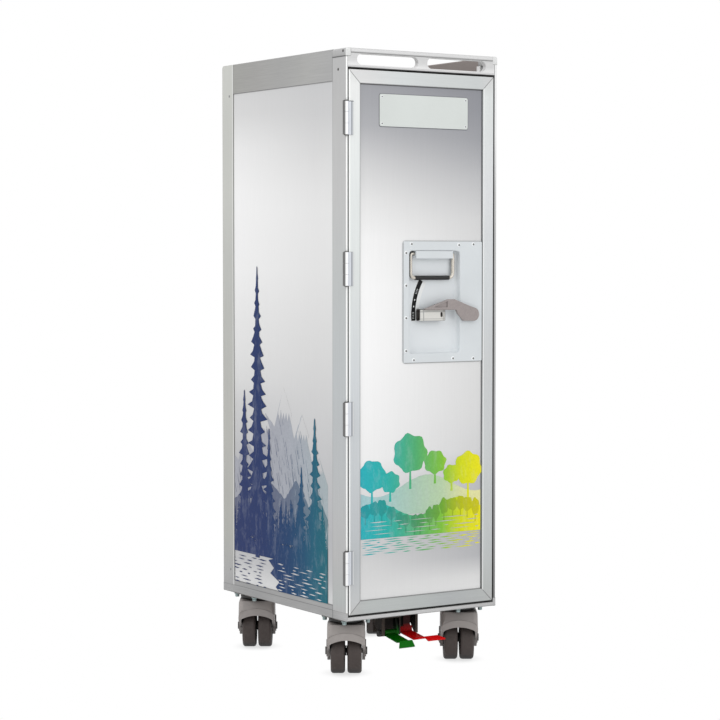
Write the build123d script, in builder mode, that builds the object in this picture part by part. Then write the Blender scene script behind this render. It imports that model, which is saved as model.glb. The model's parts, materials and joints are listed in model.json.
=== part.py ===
from build123d import *
import os
from math import cos, radians, sin

os.makedirs("parts", exist_ok=True)

# Half-size airline galley cart: an aluminium cabinet with one hinged door, a latch lever
# and a folding bail in a recessed pan, on four twin-wheel swivel casters with a foot brake.
#
# Frame: millimetres, +Z up, +X to the right seen from the door, the door faces -Y.
# Origin: on the floor under the middle of the cabinet.

# ---------------------------------------------------------------- driving dimensions
# Cabinet envelope
cart_width = 302.0
cart_depth = 405.0
cart_height = 1030.0
floor_gap = 100.0            # floor to the underside of the cabinet

# Frame extrusions and sandwich panels
wall = 12.0                  # thickness of the posts, bands and walls
panel_recess = 1.0           # side and back panels sit this far behind the frame
extrusion_skin = 2.0         # wall of the hollow extrusions
front_post_depth = 41.5
rear_post_width = 38.8
top_band_height = 51.5
bottom_band_height = 22.0
base_block_height = 14.0
edge_radius = 2.0
block_chamfer = 0.6

# Top rim, tray and hand slots
rim_thickness = 9.0
cap_height = 13.5
cap_proud = 0.5
cap_shoulder = 4.0           # round over the outer top edge of a corner cap
rear_shoulder = 5.0          # round over the rear top edge of a rear post
top_bar_height = 7.5
rail_proud = 0.5
rail_bead_height = 3.5
tray_drop = 27.5             # rim top down to the tray
tray_thickness = 12.5
slot_end = 17.8              # end of the front rail to its first hand slot
slot_height = 17.5
slot_gap = 18.0
slot_sill = 1.0              # tray top up to the bottom of a slot
rear_slot_end = 15.2         # rear post to the first hand slot behind

# Door
left_lip = 3.0               # post lip beside the door, hinge side
right_lip = 5.4              # post lip beside the door, latch side
side_gap = 1.4
end_gap = 1.9
header_drop = 32.0           # rim top down to the underside of the header
sill_height = 7.5
stop_overlap = 9.5           # height of the header's stop below the header
door_depth = 30.0
seal_gap = 2.0               # door back to the stop face of the posts
seal_thickness = 1.6
seal_width = 6.0
seal_inset = 2.0
frame_width = 22.5
panel_groove = 6.0
front_lip_thickness = 2.0
door_panel_thickness = 24.0
chamber_wall = 2.0
edge_taper = 1.5             # relief at the back of the latch-side edge
edge_taper_depth = 20.0

# Hinges
hinge_count = 4
hinge_length = 54.3
first_hinge_height = 187.5   # floor to the middle of the lowest hinge
last_hinge_drop = 112.6      # rim top down to the middle of the highest hinge
knuckle_radius = 5.2
hinge_pin_radius = 2.5
hinge_head_radius = 3.5
hinge_out_side = 1.3         # pin axis outside the side face
hinge_out_front = 1.0        # pin axis in front of the front face
hinge_leaf = 1.2
door_leaf_reach = 14.9       # pin axis to the free edge of the door leaf
body_leaf_reach = 9.0
knuckle_gap = 0.3
knuckle_clearance = 0.35
running_clearance = 0.05     # radial, for every turning fit
hinge_head = 1.0

# Latch pan
pan_width = 161.4
pan_bottom = 518.0
pan_top = 720.0
pan_sheet = 1.5
pan_corner = 5.0
recess_inset_left = 13.4     # edge of the pan to the recess
recess_inset_right = 45.7
recess_bottom = 534.0
recess_top = 703.5
recess_depth = 12.0
recess_corner = 6.0
recess_rim_round = 2.5       # soft edge where the flange turns into the recess
recess_floor_round = 5.0
tongue_inset_left = 12.9     # side of the recess to the tongue
tongue_inset_right = 14.9
tongue_drop = 12.5
bushing_width = 8.0
bushing_height = 8.5
spindle_boss_radius = 8.0
spindle_boss_depth = 3.5

# Latch lever, spindle and bolt
lever_pivot_inset = 22.2     # right edge of the pan to the spindle
lever_pivot_z = 597.6
lever_hub_radius = 11.2
lever_thickness = 4.5
lever_standoff = 2.5         # pan face to the back of the lever
lever_fold_depth = 1.2
lever_edge_round = 0.8
lever_bend_round = 3.0
# Lever outline, as offsets from the spindle: to the left, and up or down
lever_tip_reach = 99.2
lever_tip_rise = 10.4
lever_tip_height = 1.7
lever_elbow_reach = 62.8
lever_elbow_rise = 21.9
lever_crest_start = 52.5
lever_crest_end = 39.2
lever_crest_rise = 25.6
lever_arm_height = 17.6      # crest down to the underside of the arm
lever_brow_reach = 15.6
lever_brow_rise = 16.7
lever_hub_offset = 2.9       # straight top and bottom run on past the spindle
lever_hub_rise = 10.6
lever_hub_drop = 10.8
lever_paddle_reach = 20.7
lever_throat_reach = 32.0
lever_throat_rise = 0.7
lever_notch_reach = 36.1
lever_fold_start = 81.5
lever_fold_end = 54.5
lever_fold_foot = 12.6
lever_fold_rise = 22.2
lever_swing = 22.0           # degrees, shut to open
spindle_radius = 5.0
crank_radius = 18.0
crank_hub_radius = 8.0
crank_pin_radius = 3.0
crank_end_radius = 5.5
crank_thickness = 4.0
bolt_thickness = 8.0
bolt_height = 18.0
bolt_tail = 11.0             # crank pin to the tail of the bolt
bolt_nose_inset = 0.6
bolt_clearance = 0.2
bolt_slot_clearance = 0.1
bolt_slot_lift = 1.2
bolt_depth = 15.0            # front face of the door to the middle of the bolt
strike_wall = 1.0
strike_pocket = 4.0
strike_margin = 1.0

# Trigger inside the lever
trigger_reach = 105.9        # spindle to the far end of the trigger
trigger_length = 50.4
trigger_bottom = 587.5
trigger_top = 607.0
trigger_depth = 11.0
trigger_wall = 1.5
trigger_gap = 0.5            # lever back to the trigger
trigger_pin_reach = 63.0     # spindle to the trigger pin
trigger_pin_z = 597.9
trigger_pin_radius = 2.0
trigger_slot_width = 4.4
trigger_slot_height = 8.6
trigger_lug_width = 9.0
trigger_lug_thickness = 4.0
trigger_bridge_gap = 1.5

# Bail
bail_wire_radius = 3.0
bail_inset_left = 5.8        # side of the recess to the middle of the wire
bail_inset_right = 10.8
bail_pivot_z = 699.2
bail_drop = 40.2
bail_corner = 8.0
bail_shoulder = 4.0
bail_pivot_depth = 6.6       # pan face back to the pivot axis
grip_radius = 3.65
grip_end_gap = 0.4           # grip to the start of a bend

# Interior
runner_count = 14
runner_pitch = 58.0
runner_reach = 9.5
runner_thickness = 3.0
runner_edge = 2.0
base_sheet = 3.0
floor_sheet = 2.0
floor_height = 20.0          # cabinet underside up to the inner floor

# Casters
caster_inset_x = 36.0        # side face to the swivel axis
caster_inset_y = 56.5        # front or rear face to the swivel axis
caster_heading = 33.1        # degrees, clockwise from +Y seen from above
caster_trail = 20.0
wheel_radius = 37.5
wheel_width = 24.0
wheel_gap = 3.8
tread_round = 5.0
hub_recess_radius = 23.0
hub_recess = 2.5
hub_boss_radius = 8.5
hub_boss_length = 1.7
axle_radius = 4.0
axle_head_radius = 6.5
axle_head = 2.0
yoke_inside = 27.3           # swivel axis to the inside of a leg
yoke_wall = 4.2
yoke_boss = 0.8              # boss inside each leg, beside the wheel
leg_pad = 1.6
leg_pad_radius = 10.0
leg_pad_rise = 9.0
leg_radius = 15.5
hood_front = 30.5
hood_top = 91.0
hood_sheet = 4.0
hood_round = 8.0
hood_brow = 14.0             # length of the slope from the top to the front
hood_tail = 9.0              # length of the slope from the top to the rear
hood_waist = 73.0            # height at which the front is fullest
hood_arch = 63.0             # top of the wheel opening
hood_arch_drop = 4.5         # fall of the arch from its middle to its ends
hood_arch_corner = 5.0
hood_skirt = 56.0            # lower edge of the front, beside the opening
hood_lip = 1.0               # raised band around the wheel opening
hood_lip_top = 75.0
hood_lip_corner = 9.0
kingpin_radius = 8.0
kingpin_bore = 4.5
kingpin_flange_radius = 12.0
kingpin_flange = 2.5
kingpin_gap = 0.5
swivel_ring_radius = 29.0
swivel_ring_height = 5.0
caster_plate_thickness = 3.0
caster_plate_width = 56.0
caster_plate_length = 71.0
caster_plate_corner = 4.0

# Foot brake
brake_shaft_setback = 71.5   # front face to the shaft
brake_shaft_z = 110.5
brake_shaft_radius = 4.0
brake_hub_radius = 6.3
brake_arm_reach = 15.0
brake_arm_width = 6.0
brake_nose_radius = 2.0
brake_bearing_x = 70.0
brake_bearing_width = 8.0
brake_bearing_depth = 14.0
pedal_sheet = 2.5
arm_start = 30.5             # front face to the bend where a pedal's pad starts to widen
red_left = 3.0
red_right = 27.0
red_neck_left = 9.0          # the upright is narrower than the arm
red_neck_right = 23.0
red_neck_foot = 68.0
red_heel_height = 58.0
red_arm_height = 52.0
red_crest_height = 57.0
red_toe_height = 52.5
red_crest_setback = 14.5
red_toe_setback = 2.5
red_pad_left = 14.0
red_pad_right = 50.0
red_crest_left = 15.0
red_crest_right = 40.0
green_pivot_setback = 69.5
green_pivot_z = 60.0
green_left = -31.5
green_right = -8.0
green_arm_height = 50.5
green_crest_height = 52.0
green_toe_height = 42.5
green_crest_setback = 22.5
green_toe_setback = 15.5
green_pad_left = -37.0
green_pad_right = -4.0
green_crest_left = -31.0
green_crest_right = -6.0
pedal_hub_radius = 5.5
pedal_bolt_radius = 3.0
pedal_bolt_head = 4.5
pedal_bolt_end = 1.0
release_pin_z = 90.0
release_pin_radius = 2.0
release_crank_margin = 1.0
release_gap = 0.3
release_pin_end = 10.0
crank_width = 4.0
bracket_setback = 65.0
bracket_depth = 41.5
bracket_left = -38.6
bracket_right = 35.4
bracket_drop = 44.5
bracket_sheet = 2.0
bracket_left_flange = 6.5
bracket_right_flange = 5.0
bracket_strip_height = 15.0
bracket_strip_end = 1.0
bracket_toe = 9.5
bracket_ear_start = 17.0
bracket_ear_end = 42.0
bracket_ear_height = 6.0
bracket_ear_depth = 10.0
cheek_x = -2.5
cheek_shoulder = 24.0        # pivot up to the cheek's shoulder
cheek_step = 12.0
web_setback = 90.5
web_lift = 4.0               # bracket bottom up to the bottom of the web
web_hole_x = 10.0
web_hole_z = 63.5
web_hole_radius = 2.5
slot_margin = 2.0
plunger_radius = 4.0
plunger_pad_radius = 7.0
plunger_pad_height = 76.3    # floor to the underside of the pad, brake off
plunger_pad_thickness = 3.0
plunger_head_radius = 6.0
plunger_head_thickness = 2.0
plunger_head_gap = 0.1

# ---------------------------------------------------------------- worked-out places
half_width = cart_width / 2
front = -cart_depth / 2
rear = cart_depth / 2
stop_face = front + door_depth + seal_gap
post_back = front + front_post_depth
rear_post_front = rear - rear_post_width
rear_post_inside = half_width - rear_post_width
inside = half_width - wall
inside_rear = rear - wall
rim_inside = half_width - rim_thickness
tray_top = cart_height - tray_drop
header_z = cart_height - header_drop
sill_z = floor_gap + sill_height
floor_z = floor_gap + floor_height
top_band_z = cart_height - top_band_height
bottom_band_z = floor_gap + bottom_band_height
block_z = floor_gap + base_block_height
cap_z = cart_height - cap_height
side_length = rear_post_front - post_back
side_mid_y = (rear_post_front + post_back) / 2
room_depth = inside_rear - post_back
room_mid_y = (inside_rear + post_back) / 2

door_left = -half_width + left_lip + side_gap
door_right = half_width - right_lip - side_gap
door_bottom = sill_z + end_gap
door_top = header_z - end_gap
door_mid_x = (door_left + door_right) / 2
door_mid_z = (door_bottom + door_top) / 2
door_back = front + door_depth
panel_face = front + front_lip_thickness
panel_back = panel_face + door_panel_thickness

hinge_pitch = (cart_height - last_hinge_drop - first_hinge_height) / (hinge_count - 1)
hinge_x = -half_width - hinge_out_side
hinge_y = front - hinge_out_front
hinge_spots = [(hinge_x, hinge_y, first_hinge_height + n * hinge_pitch) for n in range(hinge_count)]

pan_face = panel_face - pan_sheet
pan_right = door_right - frame_width
pan_left = pan_right - pan_width
recess_left = pan_left + recess_inset_left
recess_right = pan_right - recess_inset_right
recess_floor = pan_face + recess_depth
recess_mid_x = (recess_left + recess_right) / 2
recess_mid_z = (recess_bottom + recess_top) / 2
recess_width = recess_right - recess_left
recess_height = recess_top - recess_bottom
tongue_left = recess_left + tongue_inset_left
tongue_right = recess_right - tongue_inset_right
tongue_z = recess_top - tongue_drop
bail_left = recess_left + bail_inset_left
bail_right = recess_right - bail_inset_right
bail_pivot_y = pan_face + bail_pivot_depth
grip_length = bail_right - bail_left - 2 * (bail_corner + grip_end_gap)
lever_pivot_x = pan_right - lever_pivot_inset
trigger_left = lever_pivot_x - trigger_reach
trigger_right = trigger_left + trigger_length
trigger_pin_x = lever_pivot_x - trigger_pin_reach
lever_back = pan_face - lever_standoff
lever_front = lever_back - lever_thickness
trigger_front = lever_back + trigger_gap
trigger_back = trigger_front + trigger_depth
crank_start = radians(lever_swing / 2)
crank_x = lever_pivot_x + crank_radius * sin(crank_start)
crank_z = lever_pivot_z - crank_radius * cos(crank_start)
bolt_mid_y = front + bolt_depth
bolt_front = bolt_mid_y - bolt_thickness / 2
bolt_back = bolt_mid_y + bolt_thickness / 2
caster_x = half_width - caster_inset_x
caster_y = rear - caster_inset_y
brake_shaft_y = front + brake_shaft_setback
green_pivot_y = front + green_pivot_setback
bracket_front = front + bracket_setback
bracket_back = bracket_front + bracket_depth
web_y = front + web_setback
caster_spots = {
    "front_left": (-caster_x, -caster_y),
    "front_right": (caster_x, -caster_y),
    "rear_left": (-caster_x, caster_y),
    "rear_right": (caster_x, caster_y),
}
plunger_spots = [(-caster_x, -caster_y), (caster_x, -caster_y)]


def save(part, name):
    """Labels a finished piece and writes its STEP file."""
    part.label = name
    export_step(part, f"parts/{name}.step")


def outline(plane, *points):
    """A closed, straight-sided sketch on a plane."""
    with BuildSketch(plane) as shape:
        with BuildLine():
            Polyline(*points, close=True)
        make_face()
    return shape.sketch


# ---------------------------------------------------------------- cabinet frame
def front_post_plan(height, side, lip):
    """Plan of a front post: a lip beside the door and a stop behind its edge."""
    return outline(
        Plane.XY.offset(height),
        (side * half_width, front),
        (side * (half_width - lip), front),
        (side * (half_width - lip), stop_face),
        (side * inside, stop_face),
        (side * inside, post_back),
        (side * half_width, post_back),
    )


def rear_post_plan(height, side):
    """Plan of a rear post: an angle that carries the side and back panels."""
    return outline(
        Plane.XY.offset(height),
        (side * half_width, rear),
        (side * half_width, rear_post_front),
        (side * inside, rear_post_front),
        (side * inside, inside_rear),
        (side * rear_post_inside, inside_rear),
        (side * rear_post_inside, rear),
    )


def front_post(side, lip):
    """A front post, from its base block up to its corner cap."""
    with BuildPart() as post:
        extrude(front_post_plan(block_z, side, lip), amount=cap_z - block_z)
        uprights = post.edges().filter_by(Axis.Z).group_by(Axis.Y)[0]
        fillet(uprights.sort_by(Axis.X)[0 if side < 0 else -1], edge_radius)
        with Locations((side * (half_width - wall / 2), (stop_face + post_back) / 2, block_z)):
            Box(
                wall - 2 * extrusion_skin,
                post_back - stop_face - 2 * extrusion_skin,
                cap_z - block_z,
                align=(Align.CENTER, Align.CENTER, Align.MIN),
                mode=Mode.SUBTRACT,
            )
    return post.part


hinge_pocket_length = hinge_length + 2 * hinge_head + 2 * knuckle_clearance
with BuildPart() as front_post_left:
    add(front_post(-1, left_lip))
    with Locations(*hinge_spots):
        Cylinder(knuckle_radius + knuckle_clearance, hinge_pocket_length, mode=Mode.SUBTRACT)
save(front_post_left.part, "front_post_left")

# The right post's lip holds a strike cup where the bolt passes when the door is shut.
strike_height = bolt_height + 2 * (bolt_clearance + strike_wall + strike_margin)
strike_depth = bolt_thickness + 2 * (bolt_clearance + strike_wall + strike_margin)
strike_spot = (half_width - right_lip + strike_pocket / 2, bolt_mid_y, crank_z)
with BuildPart() as front_post_right:
    add(front_post(1, right_lip))
    with Locations(strike_spot):
        Box(strike_pocket, strike_depth, strike_height, mode=Mode.SUBTRACT)
save(front_post_right.part, "front_post_right")

with BuildPart() as latch_strike:
    with Locations(strike_spot):
        Box(strike_pocket, strike_depth, strike_height)
        with Locations((-strike_wall, 0, 0)):
            Box(
                strike_pocket,
                strike_depth - 2 * strike_wall,
                strike_height - 2 * strike_wall,
                mode=Mode.SUBTRACT,
            )
save(latch_strike.part, "latch_strike")

with BuildPart() as rear_posts:
    for side in (-1, 1):
        extrude(rear_post_plan(block_z, side), amount=cart_height - block_z)
    rear_top_edges = rear_posts.edges().filter_by(Axis.X).group_by(Axis.Z)[-1].group_by(Axis.Y)[-1]
    fillet(rear_top_edges, rear_shoulder)
    corner_edges = rear_posts.edges().filter_by(Axis.Z).group_by(Axis.Y)[-1].sort_by(Axis.X)
    fillet([corner_edges[0], corner_edges[-1]], extrusion_skin / 2)
save(rear_posts.part, "rear_posts")

# Front corner caps close the front posts and end the top bar.
cap_width = rim_thickness + cap_proud
cap_depth = front_post_depth + cap_proud
with BuildPart() as top_corner_caps:
    with Locations(*[(side * (half_width + cap_proud - cap_width / 2),
                      front - cap_proud + cap_depth / 2,
                      cap_z + cap_height / 2) for side in (-1, 1)]):
        Box(cap_width, cap_depth, cap_height)
    outer_top_edges = top_corner_caps.edges().filter_by(Axis.Y).group_by(Axis.Z)[-1].sort_by(Axis.X)
    fillet([outer_top_edges[0], outer_top_edges[-1]], cap_shoulder)
    fillet(top_corner_caps.faces().filter_by(Plane.XZ).group_by(Axis.Y)[0].edges(), edge_radius / 2)
save(top_corner_caps.part, "top_corner_caps")

# Solid base blocks close the lower ends of the four posts.
with BuildPart() as base_corner_blocks:
    for side, lip in ((-1, left_lip), (1, right_lip)):
        extrude(front_post_plan(floor_gap, side, lip), amount=base_block_height)
        extrude(rear_post_plan(floor_gap, side), amount=base_block_height)
    lowest = base_corner_blocks.faces().group_by(Axis.Z)[0]
    chamfer(lowest.edges(), block_chamfer)
save(base_corner_blocks.part, "base_corner_blocks")


def hand_slots(y, left, right, end):
    """Two hand slots, side by side, in an upright rail whose outer face is at y."""
    length = (right - left - slot_gap) / 2 - end
    centre = (left + right) / 2
    offset_x = (length + slot_gap) / 2
    slot_z = tray_top + slot_sill + slot_height / 2
    with BuildSketch(Plane.XZ.offset(-y)) as slots:
        with Locations((centre - offset_x, slot_z), (centre + offset_x, slot_z)):
            SlotOverall(length, slot_height)
    return slots.sketch


# Front rail: hand-slot plate, rounded top bar, header over the door and the stop behind it.
rail_left = -half_width + left_lip
rail_right = half_width - right_lip
bar_z = cart_height - top_bar_height
with BuildPart() as front_handle_rail:
    extrude(
        outline(
            Plane.YZ.offset(rail_left),
            (front - rail_proud, header_z),
            (front - rail_proud, header_z + rail_bead_height),
            (front, header_z + rail_bead_height),
            (front, bar_z),
            (front - rail_proud, bar_z),
            (front - rail_proud, cart_height),
            (front + rim_thickness, cart_height),
            (front + rim_thickness, tray_top),
            (post_back, tray_top),
            (post_back, header_z - stop_overlap),
            (stop_face, header_z - stop_overlap),
            (stop_face, header_z),
        ),
        amount=rail_right - rail_left,
    )
    fillet(front_handle_rail.edges().filter_by(Axis.X).group_by(Axis.Z)[-1], edge_radius)
    with Locations((-half_width, front, cart_height), (half_width, front, cart_height)):
        Box(2 * rim_thickness, 4 * front_post_depth, 2 * cap_height, mode=Mode.SUBTRACT)
    stop_mid_y = (stop_face + post_back) / 2
    with Locations((-half_width, stop_mid_y, header_z), (half_width, stop_mid_y, header_z)):
        Box(2 * wall, post_back - stop_face, 2 * (cap_z - header_z), mode=Mode.SUBTRACT)
    extrude(
        hand_slots(front - rail_proud, rail_left, rail_right, slot_end),
        amount=-(rim_thickness + 2 * rail_proud),
        mode=Mode.SUBTRACT,
    )
save(front_handle_rail.part, "front_handle_rail")

# Rear rail: the same hand slots between the rear posts.
with BuildPart() as rear_handle_rail:
    extrude(
        outline(
            Plane.YZ.offset(-rear_post_inside),
            (inside_rear, top_band_z),
            (rear, top_band_z),
            (rear, cart_height),
            (rear - rim_thickness, cart_height),
            (rear - rim_thickness, tray_top),
            (inside_rear, tray_top),
        ),
        amount=2 * rear_post_inside,
    )
    fillet(rear_handle_rail.edges().filter_by(Axis.X).group_by(Axis.Z)[-1], edge_radius)
    extrude(
        hand_slots(rear, -rear_post_inside, rear_post_inside, rear_slot_end),
        amount=rim_thickness,
        mode=Mode.SUBTRACT,
    )
save(rear_handle_rail.part, "rear_handle_rail")

# Top side bands: a thin rim above the tray, full wall thickness below it.
with BuildPart() as top_bands:
    for side in (-1, 1):
        extrude(
            outline(
                Plane.XZ.offset(-post_back),
                (side * half_width, top_band_z),
                (side * half_width, cart_height),
                (side * rim_inside, cart_height),
                (side * rim_inside, tray_top),
                (side * inside, tray_top),
                (side * inside, top_band_z),
            ),
            amount=-side_length,
        )
    fillet(top_bands.edges().filter_by(Axis.Y).group_by(Axis.Z)[-1], edge_radius)
save(top_bands.part, "top_bands")

# Bottom bands tie the posts together at the base.
with BuildPart() as bottom_bands:
    band_mid_z = floor_gap + bottom_band_height / 2
    with Locations((-half_width + wall / 2, side_mid_y, band_mid_z),
                   (half_width - wall / 2, side_mid_y, band_mid_z)):
        Box(wall, side_length, bottom_band_height)
    with Locations((0, rear - wall / 2, band_mid_z)):
        Box(2 * rear_post_inside, wall, bottom_band_height)
    lowest_edges = bottom_bands.faces().group_by(Axis.Z)[0].edges()
    fillet(lowest_edges.filter_by(Axis.X).group_by(Axis.Y)[-1], edge_radius)
    fillet(lowest_edges.filter_by(Axis.Y).group_by(Axis.X)[0], edge_radius)
    fillet(lowest_edges.filter_by(Axis.Y).group_by(Axis.X)[-1], edge_radius)
save(bottom_bands.part, "bottom_bands")

# Sill: a low step under the door and the stop behind its lower edge.
with BuildPart() as front_sill:
    extrude(
        outline(
            Plane.YZ.offset(rail_left),
            (front, floor_gap),
            (front, sill_z),
            (stop_face, sill_z),
            (stop_face, floor_z),
            (post_back, floor_z),
            (post_back, floor_gap),
        ),
        amount=rail_right - rail_left,
    )
    fillet(front_sill.edges().filter_by(Axis.X).group_by(Axis.Y)[0], edge_radius)
    with Locations((-half_width, stop_mid_y, floor_gap), (half_width, stop_mid_y, floor_gap)):
        Box(2 * wall, post_back - stop_face, 2 * floor_height, mode=Mode.SUBTRACT)
save(front_sill.part, "front_sill")

# ---------------------------------------------------------------- walls and floors
wall_panel = wall - panel_recess
panel_height = top_band_z - bottom_band_z
panel_mid_z = (top_band_z + bottom_band_z) / 2
for side, name in ((-1, "side_panel_left"), (1, "side_panel_right")):
    with BuildPart() as side_panel:
        with Locations((side * (inside + wall_panel / 2), side_mid_y, panel_mid_z)):
            Box(wall_panel, side_length, panel_height)
    save(side_panel.part, name)

with BuildPart() as back_panel:
    with Locations((0, inside_rear + wall_panel / 2, panel_mid_z)):
        Box(2 * rear_post_inside, wall_panel, panel_height)
save(back_panel.part, "back_panel")

with BuildPart() as top_tray:
    with Locations((0, room_mid_y, tray_top - tray_thickness / 2)):
        Box(2 * inside, room_depth, tray_thickness)
save(top_tray.part, "top_tray")

with BuildPart() as floor_panel:
    with Locations((0, room_mid_y, floor_z - floor_sheet / 2)):
        Box(2 * inside, room_depth, floor_sheet)
save(floor_panel.part, "floor_panel")

# Tray runners: ledge rails fixed level by level along both side walls.
room_top = tray_top - tray_thickness
lowest_runner = (room_top + floor_z - (runner_count - 1) * runner_pitch) / 2
with BuildPart() as tray_runners:
    for side in (-1, 1):
        for level in range(runner_count):
            ledge_z = lowest_runner + level * runner_pitch
            extrude(
                outline(
                    Plane.XZ.offset(-post_back),
                    (side * inside, ledge_z - runner_thickness),
                    (side * inside, ledge_z),
                    (side * (inside - runner_reach), ledge_z),
                    (side * (inside - runner_reach), ledge_z - runner_edge),
                ),
                amount=-room_depth,
            )
save(tray_runners.part, "tray_runners")

# Base plate: carries the casters and the brake, with a slot for the red pedal.
slot_front = brake_shaft_y - pedal_sheet - 2 * slot_margin
slot_back = brake_shaft_y + pedal_sheet + 2 * slot_margin
slot_centre = ((red_left + red_right) / 2, (slot_front + slot_back) / 2, floor_gap)
slot_size = (red_right - red_left + 2 * slot_margin, slot_back - slot_front, 4 * base_sheet)
with BuildPart() as base_plate:
    with Locations((0, room_mid_y, floor_gap + base_sheet / 2)):
        Box(2 * inside, room_depth, base_sheet)
    with Locations(slot_centre):
        Box(*slot_size, mode=Mode.SUBTRACT)
    with Locations(*[(x, y, floor_gap) for x, y in plunger_spots]):
        Cylinder(kingpin_bore, 4 * base_sheet, mode=Mode.SUBTRACT)
save(base_plate.part, "base_plate")

# ---------------------------------------------------------------- hinges
knuckle_length = (hinge_length - 2 * knuckle_gap) / 3
side_knuckle = knuckle_length + knuckle_gap
with BuildPart() as hinge_body_leaves:
    with Locations(*hinge_spots):
        Cylinder(knuckle_radius, knuckle_length)
        with Locations((hinge_out_side - hinge_leaf / 2, body_leaf_reach / 2, 0)):
            Box(hinge_leaf, body_leaf_reach, knuckle_length)
    with Locations(*hinge_spots):
        Cylinder(hinge_pin_radius, knuckle_length, mode=Mode.SUBTRACT)
save(hinge_body_leaves.part, "hinge_body_leaves")

leaf_start = door_left - hinge_x
leaf_mid_y = hinge_out_front - hinge_leaf / 2
with BuildPart() as hinge_door_leaves:
    with Locations(*hinge_spots):
        with Locations(((leaf_start + door_leaf_reach) / 2, leaf_mid_y, 0)):
            Box(door_leaf_reach - leaf_start, hinge_leaf, hinge_length)
        with Locations((0, 0, -side_knuckle), (0, 0, side_knuckle)):
            Cylinder(knuckle_radius, knuckle_length)
            with Locations(((leaf_start + knuckle_radius / 2) / 2, leaf_mid_y, 0)):
                Box(leaf_start - knuckle_radius / 2, hinge_leaf, knuckle_length)
    with Locations(*hinge_spots):
        Cylinder(hinge_pin_radius + running_clearance, 2 * hinge_length, mode=Mode.SUBTRACT)
save(hinge_door_leaves.part, "hinge_door_leaves")

with BuildPart() as hinge_pins:
    with Locations(*hinge_spots):
        Cylinder(hinge_pin_radius, hinge_length)
        head_offset = (hinge_length + hinge_head) / 2
        with Locations((0, 0, -head_offset), (0, 0, head_offset)):
            Cylinder(hinge_head_radius, hinge_head)
save(hinge_pins.part, "hinge_pins")


# ---------------------------------------------------------------- door
def door_member(start, end, along, inward):
    """A mitred door-frame extrusion between two outer corners of the door."""
    length = (Vector(*end) - Vector(*start)).length
    profile_plane = Plane(origin=start, x_dir=inward, z_dir=along)
    groove_front = front_lip_thickness
    groove_back = front_lip_thickness + door_panel_thickness
    with BuildPart() as member:
        with BuildSketch(profile_plane) as profile:
            with BuildLine():
                Polyline(
                    (0, 0),
                    (frame_width, 0),
                    (frame_width, groove_front),
                    (frame_width - panel_groove, groove_front),
                    (frame_width - panel_groove, groove_back),
                    (frame_width, groove_back),
                    (frame_width, door_depth),
                    (0, door_depth),
                    close=True,
                )
            make_face()
            fillet(profile.vertices().group_by(Axis.Y)[0].sort_by(Axis.X)[0], edge_radius / 2)
        extrude(amount=length)
        chamber_width = frame_width - panel_groove - 2 * chamber_wall
        with BuildSketch(profile_plane):
            with Locations((chamber_wall + chamber_width / 2, door_depth / 2)):
                Rectangle(chamber_width, door_depth - 2 * chamber_wall)
        extrude(amount=length, mode=Mode.SUBTRACT)
        split(bisect_by=Plane(origin=start, z_dir=Vector(*along) - Vector(*inward)), keep=Keep.TOP)
        split(bisect_by=Plane(origin=end, z_dir=-Vector(*along) - Vector(*inward)), keep=Keep.TOP)
    return member.part


bottom_left = (door_left, front, door_bottom)
top_left = (door_left, front, door_top)
top_right = (door_right, front, door_top)
bottom_right = (door_right, front, door_bottom)
with BuildPart() as door_stile_left:
    add(door_member(bottom_left, top_left, (0, 0, 1), (1, 0, 0)))
save(door_stile_left.part, "door_stile_left")

# The latch-side edge is tapered at the back so that the door swings clear of the post.
edge_taper_wedge = outline(
    Plane.XY.offset(door_bottom),
    (door_right, door_back - edge_taper_depth),
    (door_right + edge_taper, door_back + edge_taper),
    (door_right - edge_taper * (1 + edge_taper / edge_taper_depth), door_back + edge_taper),
)

with BuildPart() as door_rail_top:
    add(door_member(top_left, top_right, (1, 0, 0), (0, 0, -1)))
    extrude(edge_taper_wedge, amount=door_top - door_bottom, mode=Mode.SUBTRACT)
save(door_rail_top.part, "door_rail_top")

with BuildPart() as door_stile_right:
    add(door_member(top_right, bottom_right, (0, 0, -1), (-1, 0, 0)))
    extrude(edge_taper_wedge, amount=door_top - door_bottom, mode=Mode.SUBTRACT)
    with Locations((door_right, bolt_mid_y, crank_z)):
        Box(
            4 * frame_width,
            bolt_thickness + 2 * bolt_clearance,
            bolt_height + 2 * bolt_clearance,
            mode=Mode.SUBTRACT,
        )
save(door_stile_right.part, "door_stile_right")

with BuildPart() as door_rail_bottom:
    add(door_member(bottom_right, bottom_left, (-1, 0, 0), (0, 0, 1)))
    extrude(edge_taper_wedge, amount=door_top - door_bottom, mode=Mode.SUBTRACT)
save(door_rail_bottom.part, "door_rail_bottom")

# Door panel: a sandwich sheet in the frame's groove, pocketed for the pan and the latch.
frame_land = frame_width - panel_groove
panel_width = door_right - door_left - 2 * frame_land
panel_length = door_top - door_bottom - 2 * frame_land
works_left = recess_right + 2 * pan_sheet
works_right = door_right - frame_land
works_bottom = crank_z - crank_hub_radius - bolt_tail / 2
works_top = lever_pivot_z + 2 * crank_hub_radius
works_depth = bolt_back + pan_sheet - panel_face
with BuildPart() as door_panel:
    with Locations((door_mid_x, (panel_face + panel_back) / 2, door_mid_z)):
        Box(panel_width, door_panel_thickness, panel_length)
    with BuildSketch(Plane.XZ.offset(-panel_face)):
        with Locations((recess_mid_x, recess_mid_z)):
            Rectangle(recess_width + 2 * pan_sheet, recess_height + 2 * pan_sheet)
    extrude(amount=-(recess_floor + pan_sheet - panel_face), mode=Mode.SUBTRACT)
    with BuildSketch(Plane.XZ.offset(-panel_face)):
        with Locations(((works_left + works_right) / 2, (works_bottom + works_top) / 2)):
            Rectangle(works_right - works_left, works_top - works_bottom)
    extrude(amount=-works_depth, mode=Mode.SUBTRACT)
save(door_panel.part, "door_panel")

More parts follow.
